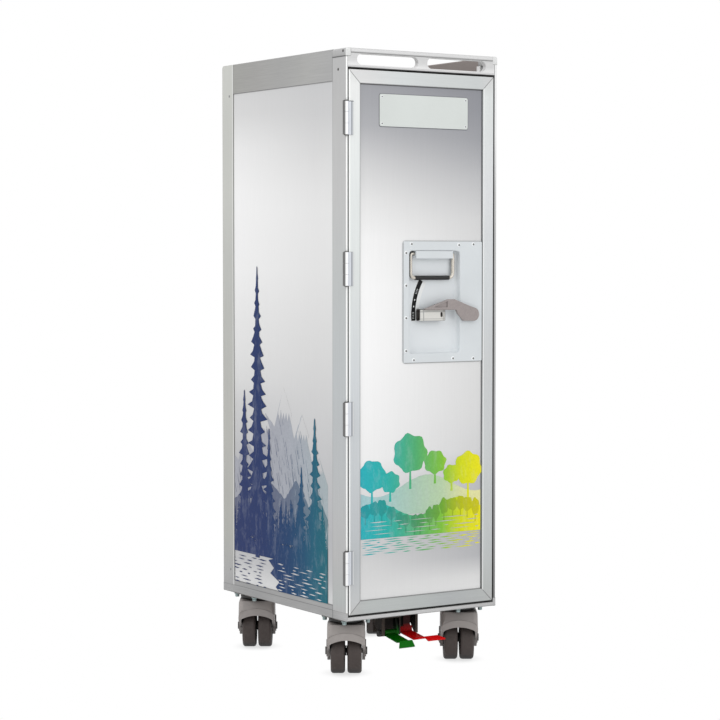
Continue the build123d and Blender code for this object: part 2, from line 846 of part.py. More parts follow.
# Door seal: a rubber ring on the back of the door frame.
seal_span_x = door_right - door_left - 2 * seal_inset
seal_span_z = door_top - door_bottom - 2 * seal_inset
with BuildPart() as door_seal:
    with BuildSketch(Plane.XZ.offset(-door_back)):
        with Locations((door_mid_x, door_mid_z)):
            Rectangle(seal_span_x, seal_span_z)
            Rectangle(seal_span_x - 2 * seal_width, seal_span_z - 2 * seal_width, mode=Mode.SUBTRACT)
    extrude(amount=-seal_thickness)
save(door_seal.part, "door_seal")

# ---------------------------------------------------------------- latch pan
with BuildPart() as latch_pan:
    with BuildSketch(Plane.XZ.offset(-panel_face)):
        with Locations(((pan_left + pan_right) / 2, (pan_bottom + pan_top) / 2)):
            RectangleRounded(pan_width, pan_top - pan_bottom, pan_corner)
    extrude(amount=pan_sheet)
    with BuildSketch(Plane.XZ.offset(-panel_face)):
        with Locations((recess_mid_x, recess_mid_z)):
            RectangleRounded(
                recess_width + 2 * pan_sheet, recess_height + 2 * pan_sheet, recess_corner + pan_sheet
            )
    extrude(amount=-(recess_depth))
    with BuildSketch(Plane.XZ.offset(-pan_face)):
        with Locations((recess_mid_x, recess_mid_z)):
            RectangleRounded(recess_width, recess_height, recess_corner)
    extrude(amount=-recess_depth, mode=Mode.SUBTRACT)
    recess_faces = latch_pan.faces().filter_by(Plane.XZ)
    floor_face = recess_faces.filter_by(lambda face: abs(face.center().Y - recess_floor) < pan_sheet / 3)
    fillet(floor_face.edges(), recess_floor_round)
    flange_face = recess_faces.filter_by(lambda face: abs(face.center().Y - pan_face) < pan_sheet / 3)
    fillet(flange_face[0].inner_wires()[0].edges(), recess_rim_round)
    # Tongue over the top of the recess, with a bushing for the bail behind each end.
    with BuildSketch(Plane.XZ.offset(-panel_face)):
        with Locations(((tongue_left + tongue_right) / 2, recess_top - tongue_drop / 2)):
            Rectangle(tongue_right - tongue_left, tongue_drop)
    extrude(amount=pan_sheet)
    with BuildSketch(Plane.XZ.offset(-recess_floor)):
        with Locations(
            (tongue_left + bushing_width / 2, recess_top - bushing_height / 2),
            (tongue_right - bushing_width / 2, recess_top - bushing_height / 2),
        ):
            Rectangle(bushing_width, bushing_height)
    extrude(amount=recess_depth - pan_sheet)
    with Locations(((tongue_left + tongue_right) / 2, bail_pivot_y, bail_pivot_z)):
        Cylinder(
            bail_wire_radius + running_clearance,
            tongue_right - tongue_left,
            rotation=(0, 90, 0),
            mode=Mode.SUBTRACT,
        )
    # Boss behind the flange for the latch spindle.
    with BuildSketch(Plane.XZ.offset(-panel_face)):
        with Locations((lever_pivot_x, lever_pivot_z)):
            Circle(spindle_boss_radius)
    extrude(amount=-spindle_boss_depth)
    with BuildSketch(Plane.XZ.offset(-pan_face)):
        with Locations((lever_pivot_x, lever_pivot_z)):
            Circle(spindle_radius + running_clearance)
    extrude(amount=-(pan_sheet + spindle_boss_depth), mode=Mode.SUBTRACT)
save(latch_pan.part, "latch_pan")

# ---------------------------------------------------------------- latch lever and bolt
def from_spindle(reach, rise):
    """A point to the left of the spindle and above it."""
    return (lever_pivot_x - reach, lever_pivot_z + rise)


arm_underside = lever_crest_rise - lever_arm_height
with BuildPart() as latch_lever:
    with BuildSketch(Plane.XZ.offset(-lever_back)) as lever_shape:
        with BuildLine():
            Polyline(
                from_spindle(lever_tip_reach, lever_tip_rise - lever_tip_height),
                from_spindle(lever_tip_reach, lever_tip_rise),
                from_spindle(lever_elbow_reach, lever_elbow_rise),
                from_spindle(lever_crest_start, lever_crest_rise),
                from_spindle(lever_crest_end, lever_crest_rise),
                from_spindle(lever_brow_reach, lever_brow_rise),
                from_spindle(-lever_hub_offset, lever_hub_rise),
                from_spindle(-lever_hub_offset, -lever_hub_drop),
                from_spindle(lever_paddle_reach, -lever_hub_drop),
                from_spindle(lever_throat_reach, lever_throat_rise),
                from_spindle(lever_notch_reach, arm_underside),
                from_spindle(lever_crest_start, arm_underside),
                close=True,
            )
        make_face()
        with Locations((lever_pivot_x, lever_pivot_z)):
            Circle(lever_hub_radius)
        bends = lever_shape.vertices().filter_by(
            lambda corner: lever_brow_reach < lever_pivot_x - corner.X < lever_crest_start + 1
            and (corner.Y > lever_pivot_z + lever_brow_rise + 1 or corner.Y < lever_pivot_z + arm_underside + 1)
        )
        fillet(bends, lever_bend_round)
    extrude(amount=lever_thickness)
    fillet(latch_lever.faces().sort_by(Axis.Y)[0].edges().filter_by(
        lambda edge: edge.center().X > lever_pivot_x - lever_fold_start), lever_edge_round)
    # Folded triangle on the arm.
    extrude(
        outline(
            Plane.XZ.offset(-lever_front),
            from_spindle(lever_fold_start, lever_fold_foot),
            from_spindle(lever_fold_end, lever_fold_rise),
            from_spindle(lever_fold_end, lever_fold_foot),
        ),
        amount=-lever_fold_depth,
        mode=Mode.SUBTRACT,
    )
    # Lug that carries the trigger's pin inside the trigger.
    lug_y = (trigger_front + trigger_back) / 2
    lug_top = trigger_top + trigger_bridge_gap + trigger_lug_thickness
    lug_bottom = trigger_pin_z - 2 * trigger_pin_radius
    with Locations((trigger_pin_x, lug_y, (lug_top + lug_bottom) / 2)):
        Box(trigger_lug_width, trigger_lug_thickness, lug_top - lug_bottom)
    bridge_back = lug_y + trigger_lug_thickness / 2
    with Locations((trigger_pin_x, (lever_back + bridge_back) / 2, lug_top - trigger_lug_thickness / 2)):
        Box(trigger_lug_width, bridge_back - lever_back, trigger_lug_thickness)
    with Locations((trigger_pin_x, (lug_y + trigger_back) / 2, trigger_pin_z)):
        Cylinder(trigger_pin_radius, trigger_back - lug_y, rotation=(90, 0, 0))
save(latch_lever.part, "latch_lever")

# Spindle through the pan, with the crank that draws the bolt.
crank_front = bolt_front - bolt_slot_clearance * 5 - crank_thickness
with BuildPart() as latch_spindle:
    with BuildSketch(Plane.XZ.offset(-lever_back)):
        with Locations((lever_pivot_x, lever_pivot_z)):
            Circle(spindle_radius)
    extrude(amount=-(crank_front + crank_thickness - lever_back))
    with BuildSketch(Plane.XZ.offset(-crank_front)):
        with Locations((lever_pivot_x, lever_pivot_z)):
            Circle(crank_hub_radius)
        with Locations((crank_x, crank_z)):
            Circle(crank_end_radius)
        make_hull()
    extrude(amount=-crank_thickness)
    with BuildSketch(Plane.XZ.offset(-crank_front)):
        with Locations((crank_x, crank_z)):
            Circle(crank_pin_radius)
    extrude(amount=-(bolt_back - crank_front))
save(latch_spindle.part, "latch_spindle")

bolt_nose = door_right - bolt_nose_inset
bolt_end = crank_x - bolt_tail
with BuildPart() as latch_bolt:
    with Locations(((bolt_nose + bolt_end) / 2, bolt_mid_y, crank_z)):
        Box(bolt_nose - bolt_end, bolt_thickness, bolt_height)
    with BuildSketch(Plane.XZ.offset(-bolt_front)):
        with Locations((crank_x, crank_z)):
            slot_width = 2 * (crank_pin_radius + bolt_slot_clearance)
            SlotOverall(slot_width + 2 * bolt_slot_lift, slot_width, rotation=90)
    extrude(amount=-bolt_thickness, mode=Mode.SUBTRACT)
save(latch_bolt.part, "latch_bolt")

# Trigger: a channel open at the top and at its free end, squeezed up into the lever.
with BuildPart() as trigger:
    trigger_centre = (
        (trigger_left + trigger_right) / 2,
        (trigger_front + trigger_back) / 2,
        (trigger_bottom + trigger_top) / 2,
    )
    with Locations(trigger_centre):
        Box(trigger_right - trigger_left, trigger_depth, trigger_top - trigger_bottom)
    fillet(trigger.edges().filter_by(Axis.Y).group_by(Axis.Z)[0], trigger_wall)
    with Locations(trigger_centre):
        with Locations((-trigger_wall, 0, trigger_wall)):
            Box(
                trigger_right - trigger_left,
                trigger_depth - 2 * trigger_wall,
                trigger_top - trigger_bottom,
                mode=Mode.SUBTRACT,
            )
    with Locations((trigger_pin_x, trigger_centre[1], trigger_pin_z)):
        Cylinder(
            trigger_pin_radius + running_clearance,
            2 * trigger_depth,
            rotation=(90, 0, 0),
            mode=Mode.SUBTRACT,
        )
    # Slot in the front wall, over the pin.
    with BuildSketch(Plane.XZ.offset(-trigger_front)):
        with Locations((trigger_pin_x, trigger_pin_z)):
            SlotOverall(trigger_slot_height, trigger_slot_width, rotation=90)
    extrude(amount=-trigger_wall, mode=Mode.SUBTRACT)
save(trigger.part, "trigger")

# ---------------------------------------------------------------- bail
stub_left = tongue_left + bushing_width
stub_right = tongue_right - bushing_width
bail_bottom = bail_pivot_z - bail_drop
with BuildPart() as bail:
    with BuildLine(Plane.XZ.offset(-bail_pivot_y)) as wire:
        FilletPolyline(
            (stub_left, bail_pivot_z),
            (bail_left, bail_pivot_z),
            (bail_left, bail_bottom),
            (bail_right, bail_bottom),
            (bail_right, bail_pivot_z),
            (stub_right, bail_pivot_z),
            radius=[bail_shoulder, bail_corner, bail_corner, bail_shoulder],
        )
    with BuildSketch(Plane(origin=wire.line @ 0, z_dir=wire.line % 0)):
        Circle(bail_wire_radius)
    sweep()
save(bail.part, "bail")

with BuildPart() as bail_grip:
    with BuildSketch(Plane.YZ.offset((bail_left + bail_right - grip_length) / 2)):
        with Locations((bail_pivot_y, bail_bottom)):
            Circle(grip_radius)
            Circle(bail_wire_radius, mode=Mode.SUBTRACT)
    extrude(amount=grip_length)
save(bail_grip.part, "bail_grip")

# ---------------------------------------------------------------- casters
plate_bottom = floor_gap - caster_plate_thickness
kingpin_end = hood_top - hood_sheet - kingpin_gap - kingpin_flange
with BuildPart() as caster_plates:
    for x, y in caster_spots.values():
        with Locations((x, y, floor_gap - caster_plate_thickness / 2)):
            Box(caster_plate_width, caster_plate_length, caster_plate_thickness)
        with Locations((x, y, (plate_bottom + kingpin_end) / 2)):
            Cylinder(kingpin_radius, plate_bottom - kingpin_end)
        with Locations((x, y, kingpin_end + kingpin_flange / 2)):
            Cylinder(kingpin_flange_radius, kingpin_flange)
        with Locations((x, y, floor_gap)):
            Cylinder(kingpin_bore, 2 * floor_gap - 2 * kingpin_end + 1, mode=Mode.SUBTRACT)
    corner_uprights = caster_plates.edges().filter_by(Axis.Z).filter_by(
        lambda edge: edge.length < caster_plate_thickness + 0.01
        and edge.center().Z > plate_bottom and edge.geom_type == GeomType.LINE)
    fillet(corner_uprights, caster_plate_corner)
save(caster_plates.part, "caster_plates")

with BuildPart() as swivel_rings:
    for x, y in caster_spots.values():
        with Locations((x, y, plate_bottom - swivel_ring_height / 2)):
            Cylinder(swivel_ring_radius, swivel_ring_height)
            Cylinder(kingpin_radius, swivel_ring_height, mode=Mode.SUBTRACT)
    fillet(swivel_rings.faces().group_by(Axis.Z)[0].edges().group_by(SortBy.LENGTH)[-1], 1.5)
save(swivel_rings.part, "swivel_rings")

# One caster about its own swivel axis: local +Y trails, local X is along the axle.
hood_half = yoke_inside + yoke_wall
hood_face = -hood_front
leg_front = caster_trail - leg_radius
arch_span = yoke_inside - hood_arch_corner
arch_radius = (arch_span ** 2 + hood_arch_drop ** 2) / (2 * hood_arch_drop)


def wheel_opening(plane, half, top, corner):
    """Front view of an opening with a shallow arched top and round corners."""
    with BuildSketch(plane) as opening:
        with Locations((0, top / 2)):
            Rectangle(2 * half, top)
        with Locations((0, top - arch_radius)):
            Circle(arch_radius, mode=Mode.INTERSECT)
        fillet(opening.vertices().group_by(Axis.Y)[-1], corner)
    return opening.sketch


with BuildPart() as caster_housing:
    extrude(
        outline(
            Plane.YZ.offset(-hood_half),
            (hood_face, hood_skirt),
            (hood_face, hood_waist),
            (hood_face + hood_brow / 2, hood_top - hood_brow / 4),
            (hood_face + hood_brow, hood_top),
            (caster_trail, hood_top),
            (caster_trail + hood_tail, hood_top - hood_tail / 2),
            (caster_trail + leg_radius, hood_arch),
            (caster_trail + leg_radius, wheel_radius),
            (leg_front, wheel_radius),
        ),
        amount=2 * hood_half,
    )
    with Locations((0, caster_trail, wheel_radius)):
        Cylinder(leg_radius, 2 * hood_half, rotation=(0, 90, 0))
    flanks = caster_housing.faces().filter_by(Axis.X)
    upper_edges = flanks.edges().filter_by(lambda edge: edge.center().Z > hood_waist)
    fillet(upper_edges, hood_round)
    # Raised band around the wheel opening.
    lip_face = Plane.XZ.offset(hood_front + hood_lip)
    with BuildSketch(lip_face):
        add(wheel_opening(Plane.XY, hood_half, hood_lip_top, hood_lip_corner))
        with Locations((0, hood_skirt / 2)):
            Rectangle(2 * hood_half, hood_skirt, mode=Mode.SUBTRACT)
    extrude(amount=-2 * hood_lip)
    # Raised pads around the axle ends.
    with BuildSketch(Plane.YZ.offset(-hood_half - leg_pad)):
        with Locations((caster_trail, wheel_radius + leg_pad_rise / 2)):
            SlotOverall(leg_pad_rise + 2 * leg_pad_radius, 2 * leg_pad_radius, rotation=90)
    extrude(amount=2 * (hood_half + leg_pad))
    # Room for the wheels, open to the rear and below.
    cavity_top = hood_top - hood_sheet
    cavity_front = hood_face + hood_sheet
    extrude(
        outline(
            Plane.YZ.offset(-yoke_inside),
            (cavity_front, 0),
            (cavity_front, hood_waist),
            (cavity_front + hood_brow / 2, cavity_top),
            (2 * caster_trail + wheel_radius, cavity_top),
            (2 * caster_trail + wheel_radius, 0),
        ),
        amount=2 * yoke_inside,
        mode=Mode.SUBTRACT,
    )
    extrude(
        wheel_opening(lip_face, yoke_inside, hood_arch, hood_arch_corner),
        amount=-2 * hood_sheet,
        mode=Mode.SUBTRACT,
    )
    # Bosses inside the legs keep the wheels in the middle.
    for side in (-1, 1):
        with BuildSketch(Plane.YZ.offset(side * yoke_inside)):
            with Locations((caster_trail, wheel_radius)):
                Circle(leg_radius)
            with Locations((caster_trail, (wheel_radius + hood_arch) / 2)):
                Rectangle(2 * leg_radius, hood_arch - wheel_radius)
        extrude(amount=-side * yoke_boss)
    with Locations((0, 0, hood_top)):
        Cylinder(kingpin_radius + running_clearance, 4 * hood_sheet, mode=Mode.SUBTRACT)
    with Locations((0, caster_trail, wheel_radius)):
        Cylinder(axle_radius, 4 * hood_half, rotation=(0, 90, 0), mode=Mode.SUBTRACT)

with BuildPart() as caster_axle:
    pad_face = hood_half + leg_pad
    with Locations((0, caster_trail, wheel_radius)):
        Cylinder(axle_radius, 2 * pad_face, rotation=(0, 90, 0))
        with Locations((-pad_face - axle_head / 2, 0, 0), (pad_face + axle_head / 2, 0, 0)):
            Cylinder(axle_head_radius, axle_head, rotation=(0, 90, 0))

wheel_inner_face = wheel_gap / 2
with BuildPart() as caster_wheel:
    with Locations((wheel_inner_face + wheel_width / 2, caster_trail, wheel_radius)):
        Cylinder(wheel_radius, wheel_width, rotation=(0, 90, 0))
    fillet(caster_wheel.edges(), tread_round)
    with Locations((wheel_inner_face + wheel_width, caster_trail, wheel_radius)):
        Cylinder(hub_recess_radius, 2 * hub_recess, rotation=(0, 90, 0), mode=Mode.SUBTRACT)
        Cylinder(hub_boss_radius, 2 * hub_recess, rotation=(0, 90, 0))
    with Locations((wheel_inner_face + wheel_width + hub_recess, caster_trail, wheel_radius)):
        Cylinder(wheel_radius, 2 * hub_recess, rotation=(0, 90, 0), mode=Mode.SUBTRACT)
    with Locations((wheel_inner_face - hub_boss_length / 2, caster_trail, wheel_radius)):
        Cylinder(hub_boss_radius, hub_boss_length, rotation=(0, 90, 0))
    with Locations((wheel_inner_face, caster_trail, wheel_radius)):
        Cylinder(
            axle_radius + running_clearance, 4 * wheel_width, rotation=(0, 90, 0), mode=Mode.SUBTRACT
        )
with BuildPart() as caster_wheel_opposite:
    mirror(caster_wheel.part, about=Plane.YZ)

for spot, (x, y) in caster_spots.items():
    place = Location((x, y, 0), (0, 0, -caster_heading))
    save(caster_housing.part.moved(place), f"caster_housing_{spot}")
    save(caster_axle.part.moved(place), f"caster_axle_{spot}")
    save(caster_wheel_opposite.part.moved(place), f"caster_wheel_{spot}_a")
    save(caster_wheel.part.moved(place), f"caster_wheel_{spot}_b")

# ---------------------------------------------------------------- foot brake
with BuildPart() as brake_shaft:
    shaft_end = caster_x + brake_arm_width / 2
    with Locations((0, brake_shaft_y, brake_shaft_z)):
        Cylinder(brake_shaft_radius, 2 * shaft_end, rotation=(0, 90, 0))
    for side in (-1, 1):
        with BuildSketch(Plane.YZ.offset(side * caster_x - brake_arm_width / 2)):
            with Locations((brake_shaft_y, brake_shaft_z)):
                Circle(brake_hub_radius)
            with Locations((brake_shaft_y - brake_arm_reach, brake_shaft_z)):
                Circle(brake_nose_radius)
            with Locations((brake_shaft_y - brake_arm_reach / 2, brake_shaft_z)):
                Rectangle(brake_arm_reach, 2 * brake_nose_radius)
        extrude(amount=brake_arm_width)
save(brake_shaft.part, "brake_shaft")

with BuildPart() as brake_bearings:
    block_height = floor_z - floor_sheet - floor_gap - base_sheet
    with Locations((-brake_bearing_x, brake_shaft_y, floor_gap + base_sheet),
                   (brake_bearing_x, brake_shaft_y, floor_gap + base_sheet)):
        Box(
            brake_bearing_width,
            brake_bearing_depth,
            block_height,
            align=(Align.CENTER, Align.CENTER, Align.MIN),
        )
    with Locations((0, brake_shaft_y, brake_shaft_z)):
        Cylinder(
            brake_shaft_radius + running_clearance, cart_width, rotation=(0, 90, 0), mode=Mode.SUBTRACT
        )
save(brake_bearings.part, "brake_bearings")


def sheet_profile(x, *points):
    """A bent sheet seen from the side, made by thickening a broken line."""
    with BuildSketch(Plane.YZ.offset(x)) as profile:
        with BuildLine():
            Polyline(*points)
        trace(line_width=pedal_sheet)
    return profile.sketch


# Red pedal: hangs from the brake shaft and sets the brake when it is pressed.
arm_bend = front + arm_start
red_crest = front + red_crest_setback
red_toe = front + red_toe_setback
with BuildPart() as brake_pedal:
    extrude(
        sheet_profile(
            red_left,
            (brake_shaft_y, brake_shaft_z),
            (brake_shaft_y, red_heel_height),
            (arm_bend, red_arm_height),
            (red_crest, red_crest_height),
            (red_toe + pedal_sheet / 2, red_toe_height),
        ),
        amount=2 * (red_right - red_left),
    )
    extrude(
        outline(
            Plane.XY.offset(floor_gap / 3),
            (red_left, brake_shaft_y + brake_hub_radius),
            (red_right, brake_shaft_y + brake_hub_radius),
            (red_right, arm_bend),
            (red_crest_right, red_crest),
            (red_pad_right, red_toe),
            (red_pad_left, red_toe),
            (red_crest_left, red_crest),
            (red_left, arm_bend),
        ),
        amount=floor_gap,
        mode=Mode.INTERSECT,
    )
    # The upright is cut back on both sides to pass the bracket.
    with BuildSketch(Plane.XZ.offset(-brake_shaft_y)):
        with Locations((red_left, red_neck_foot)):
            Rectangle(red_neck_left - red_left, floor_gap, align=Align.MIN)
        with Locations((red_neck_right, red_neck_foot)):
            Rectangle(red_right - red_neck_right, floor_gap, align=Align.MIN)
    extrude(amount=brake_hub_radius, both=True, mode=Mode.SUBTRACT)
    neck_width = red_neck_right - red_neck_left
    with Locations(((red_neck_left + red_neck_right) / 2, brake_shaft_y, brake_shaft_z)):
        Cylinder(brake_hub_radius, neck_width, rotation=(0, 90, 0))
        Cylinder(brake_shaft_radius, neck_width, rotation=(0, 90, 0), mode=Mode.SUBTRACT)
save(brake_pedal.part, "brake_pedal")

# Green pedal: turns on its own bolt; its crank lies behind the red pedal and releases it.
release_pin_y = brake_shaft_y + pedal_sheet / 2 + release_pin_radius + release_gap
green_crest = front + green_crest_setback
green_toe = front + green_toe_setback
with BuildPart() as release_pedal:
    extrude(
        sheet_profile(
            green_pad_left,
            (green_pivot_y, green_pivot_z - pedal_sheet),
            (arm_bend, green_arm_height),
            (green_crest, green_crest_height),
            (green_toe + pedal_sheet / 2, green_toe_height),
        ),
        amount=green_pad_right - green_pad_left,
    )
    extrude(
        outline(
            Plane.XY.offset(floor_gap / 3),
            (green_left, green_pivot_y),
            (green_right, green_pivot_y),
            (green_right, arm_bend),
            (green_crest_right, green_crest),
            (green_pad_right, green_toe),
            (green_pad_left, green_toe),
            (green_crest_left, green_crest),
            (green_left, arm_bend),
        ),
        amount=floor_gap / 2,
        mode=Mode.INTERSECT,
    )
    hub_length = green_right - green_left + crank_width
    with Locations((green_left + hub_length / 2, green_pivot_y, green_pivot_z)):
        Cylinder(pedal_hub_radius, hub_length, rotation=(0, 90, 0))
    with BuildSketch(Plane.YZ.offset(green_right)):
        with Locations((green_pivot_y, green_pivot_z)):
            Circle(pedal_hub_radius)
        with Locations((release_pin_y, release_pin_z)):
            Circle(release_pin_radius + release_crank_margin)
        make_hull()
    extrude(amount=crank_width)
    with Locations(((green_right + release_pin_end) / 2, release_pin_y, release_pin_z)):
        Cylinder(release_pin_radius, release_pin_end - green_right, rotation=(0, 90, 0))
    with Locations((green_right, green_pivot_y, green_pivot_z)):
        Cylinder(
            pedal_bolt_radius + running_clearance, cart_width, rotation=(0, 90, 0), mode=Mode.SUBTRACT
        )
save(release_pedal.part, "release_pedal")

# Bracket: a folded sheet box that carries the green pedal's bolt.
bracket_top = floor_gap
bracket_bottom = bracket_top - bracket_drop
with BuildPart() as brake_bracket:
    bracket_mid = ((bracket_left + bracket_right) / 2, (bracket_front + bracket_back) / 2)
    with Locations((*bracket_mid, bracket_top - bracket_sheet / 2)):
        Box(bracket_right - bracket_left, bracket_back - bracket_front, bracket_sheet)
    for x in (bracket_left, bracket_right - bracket_sheet):
        extrude(
            outline(
                Plane.YZ.offset(x),
                (bracket_front, bracket_bottom),
                (bracket_front, bracket_top),
                (bracket_back, bracket_top),
                (bracket_front + bracket_toe, bracket_bottom),
            ),
            amount=bracket_sheet,
        )
    with BuildSketch(Plane.XZ.offset(-bracket_front)):
        with Locations((bracket_left, bracket_bottom)):
            Rectangle(bracket_left_flange, bracket_drop, align=Align.MIN)
        with Locations((bracket_right - bracket_right_flange, bracket_bottom)):
            Rectangle(bracket_right_flange, bracket_drop, align=Align.MIN)
        with Locations((bracket_left, bracket_top - bracket_strip_height)):
            Rectangle(bracket_strip_end - bracket_left, bracket_strip_height, align=Align.MIN)
    extrude(amount=-bracket_sheet)
    with BuildSketch(Plane.XZ.offset(-bracket_front)):
        with Locations((bracket_ear_start, bracket_top - bracket_ear_height)):
            Rectangle(bracket_ear_end - bracket_ear_start, bracket_ear_height, align=Align.MIN)
    extrude(amount=-bracket_ear_depth)
    # Middle cheek beside the green pedal.
    cheek_back = green_pivot_y + pedal_hub_radius
    extrude(
        outline(
            Plane.YZ.offset(cheek_x),
            (bracket_front, bracket_bottom),
            (bracket_front, bracket_top),
            (green_pivot_y, bracket_top),
            (green_pivot_y, green_pivot_z + cheek_shoulder),
            (cheek_back, green_pivot_z + cheek_step),
            (cheek_back, bracket_bottom),
        ),
        amount=bracket_sheet,
    )
    # Rear web with a round hole.
    with BuildSketch(Plane.XZ.offset(-web_y)):
        with Locations((bracket_left, bracket_bottom + web_lift)):
            Rectangle(bracket_right - bracket_left, bracket_drop - web_lift, align=Align.MIN)
        with Locations((web_hole_x, web_hole_z)):
            Circle(web_hole_radius, mode=Mode.SUBTRACT)
    extrude(amount=-bracket_sheet)
    with Locations(slot_centre):
        Box(*slot_size, mode=Mode.SUBTRACT)
    with Locations((green_right, green_pivot_y, green_pivot_z)):
        Cylinder(pedal_bolt_radius, 2 * cart_width, rotation=(0, 90, 0), mode=Mode.SUBTRACT)
save(brake_bracket.part, "brake_bracket")

with BuildPart() as pedal_bolt:
    bolt_right = cheek_x + bracket_sheet
    with BuildSketch(Plane.YZ.offset(bracket_left)):
        with Locations((green_pivot_y, green_pivot_z)):
            Circle(pedal_bolt_radius)
    extrude(amount=bolt_right - bracket_left + pedal_bolt_end)
    with BuildSketch(Plane.YZ.offset(bracket_left)):
        with Locations((green_pivot_y, green_pivot_z)):
            RegularPolygon(pedal_bolt_head + pedal_bolt_end, 6)
    extrude(amount=-pedal_bolt_head)
save(pedal_bolt.part, "pedal_bolt")

# Brake plungers: pressed down through the front kingpins onto the treads.
plunger_top = brake_shaft_z - brake_nose_radius - plunger_head_gap
for (x, y), name in zip(plunger_spots, ("brake_plunger_left", "brake_plunger_right")):
    with BuildPart() as plunger:
        with Locations((x, y, plunger_pad_height + plunger_pad_thickness / 2)):
            Cylinder(plunger_pad_radius, plunger_pad_thickness)
        with Locations((x, y, (plunger_pad_height + plunger_top) / 2)):
            Cylinder(plunger_radius, plunger_top - plunger_pad_height)
        with Locations((x, y, plunger_top - plunger_head_thickness / 2)):
            Cylinder(plunger_head_radius, plunger_head_thickness)
    save(plunger.part, name)
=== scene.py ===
"""Looks of the airline galley cart: finishes, fasteners, plain printed decoration, light and camera."""
import json
import math
import random
from collections import namedtuple

import bmesh
import bpy
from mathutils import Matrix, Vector


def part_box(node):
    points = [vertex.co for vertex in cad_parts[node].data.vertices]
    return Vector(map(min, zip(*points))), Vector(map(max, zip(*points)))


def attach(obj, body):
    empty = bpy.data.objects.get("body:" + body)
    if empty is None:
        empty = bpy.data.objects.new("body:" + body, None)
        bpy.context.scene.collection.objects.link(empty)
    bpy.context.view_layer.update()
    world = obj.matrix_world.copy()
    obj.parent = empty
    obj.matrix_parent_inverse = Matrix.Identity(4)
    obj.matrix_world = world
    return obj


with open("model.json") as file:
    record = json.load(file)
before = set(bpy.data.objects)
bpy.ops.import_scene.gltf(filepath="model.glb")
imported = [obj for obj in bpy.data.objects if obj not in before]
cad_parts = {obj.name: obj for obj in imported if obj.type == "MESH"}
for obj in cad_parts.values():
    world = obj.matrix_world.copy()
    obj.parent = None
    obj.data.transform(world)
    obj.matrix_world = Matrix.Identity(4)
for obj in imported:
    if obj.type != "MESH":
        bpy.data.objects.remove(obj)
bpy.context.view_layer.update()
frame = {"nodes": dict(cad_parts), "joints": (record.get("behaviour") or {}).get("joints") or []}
nodes = frame["nodes"]
MM = 0.001
random.seed(7)

# ------------------------------------------------------------------ camera
# The lens and sensor are in millimetres, its place and reach in metres and its angles in degrees.
LENS = 105.96
SENSOR = 36.0
FAR_CLIP = 50.0
CAMERA_PLACE = (-2.00435, -3.08121, 0.69076)
LOOK_DOWN = 2.7389
LOOK_RIGHT = 33.1441


def add_camera():
    data = bpy.data.cameras.new("camera")
    data.sensor_width = SENSOR
    data.lens = LENS
    data.clip_end = FAR_CLIP
    camera = bpy.data.objects.new("camera", data)
    camera.location = CAMERA_PLACE
    camera.rotation_euler = (math.radians(90 - LOOK_DOWN), 0.0, -math.radians(LOOK_RIGHT))
    bpy.context.collection.objects.link(camera)
    bpy.context.scene.camera = camera
    bpy.context.scene.view_settings.view_transform = "Standard"


add_camera()


# ------------------------------------------------------------------ places in the frame, in millimetres
def edges(name):
    """Lowest and highest corners of a node."""
    low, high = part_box(name)
    return [c / MM for c in low], [c / MM for c in high]


def joint_place(name):
    joint = next(j for j in frame["joints"] if j["name"] == name)
    return [c / MM for c in joint["pos_m"]]


LEFT_LOW, LEFT_HIGH = edges("door_stile_left")
RIGHT_LOW, RIGHT_HIGH = edges("door_stile_right")
TOP_LOW, TOP_HIGH = edges("door_rail_top")
FOOT_LOW, FOOT_HIGH = edges("door_rail_bottom")
POST_LOW, POST_HIGH = edges("front_post_left")
RIGHT_POST_HIGH = edges("front_post_right")[1]
REAR_POST_HIGH = edges("rear_posts")[1]
HEADER_LOW, HEADER_HIGH = edges("front_handle_rail")
CAP_LOW, CAP_HIGH = edges("top_corner_caps")
BAND_LOW, BAND_HIGH = edges("top_bands")
LOW_BAND_LOW, LOW_BAND_HIGH = edges("bottom_bands")
SKIN_LOW, SKIN_HIGH = edges("side_panel_left")
SILL_LOW = edges("front_sill")[0]
PAN_LOW, PAN_HIGH = edges("latch_pan")
TRIGGER_LOW, TRIGGER_HIGH = edges("trigger")
HINGE_HIGH = edges("hinge_door_leaves")[1]
CASTER_PLATE_HIGH = edges("caster_plates")[1]
LEVER_PIVOT = joint_place("lever_turn")

# The gap over and under the door, and the thickness of the pan's sheet.
DOOR_GAP = 1.9
PAN_SHEET = 1.5
HEADER_EDGE = TOP_HIGH[2] + DOOR_GAP
SILL_TOP = FOOT_LOW[2] - DOOR_GAP
PAN_FACE = PAN_LOW[1]
PAN_FLOOR = PAN_HIGH[1] - PAN_SHEET
PANEL_FACE = edges("door_panel")[0][1]


# ------------------------------------------------------------------ node helpers
def material(name):
    mat = bpy.data.materials.new(name)
    mat.use_nodes = True
    tree = mat.node_tree
    shader = tree.nodes["Principled BSDF"]
    return mat, tree, shader


def node(tree, kind, **settings):
    made = tree.nodes.new(kind)
    for key, value in settings.items():
        setattr(made, key, value)
    return made


def position(tree):
    """Object-space position, whole and split into its three parts."""
    coords = node(tree, "ShaderNodeTexCoord")
    split = node(tree, "ShaderNodeSeparateXYZ")
    tree.links.new(coords.outputs["Object"], split.inputs[0])
    return coords.outputs["Object"], split.outputs


def scaled(tree, source, scale):
    mapping = node(tree, "ShaderNodeMapping")
    mapping.inputs["Scale"].default_value = scale
    tree.links.new(source, mapping.inputs["Vector"])
    return mapping.outputs["Vector"]


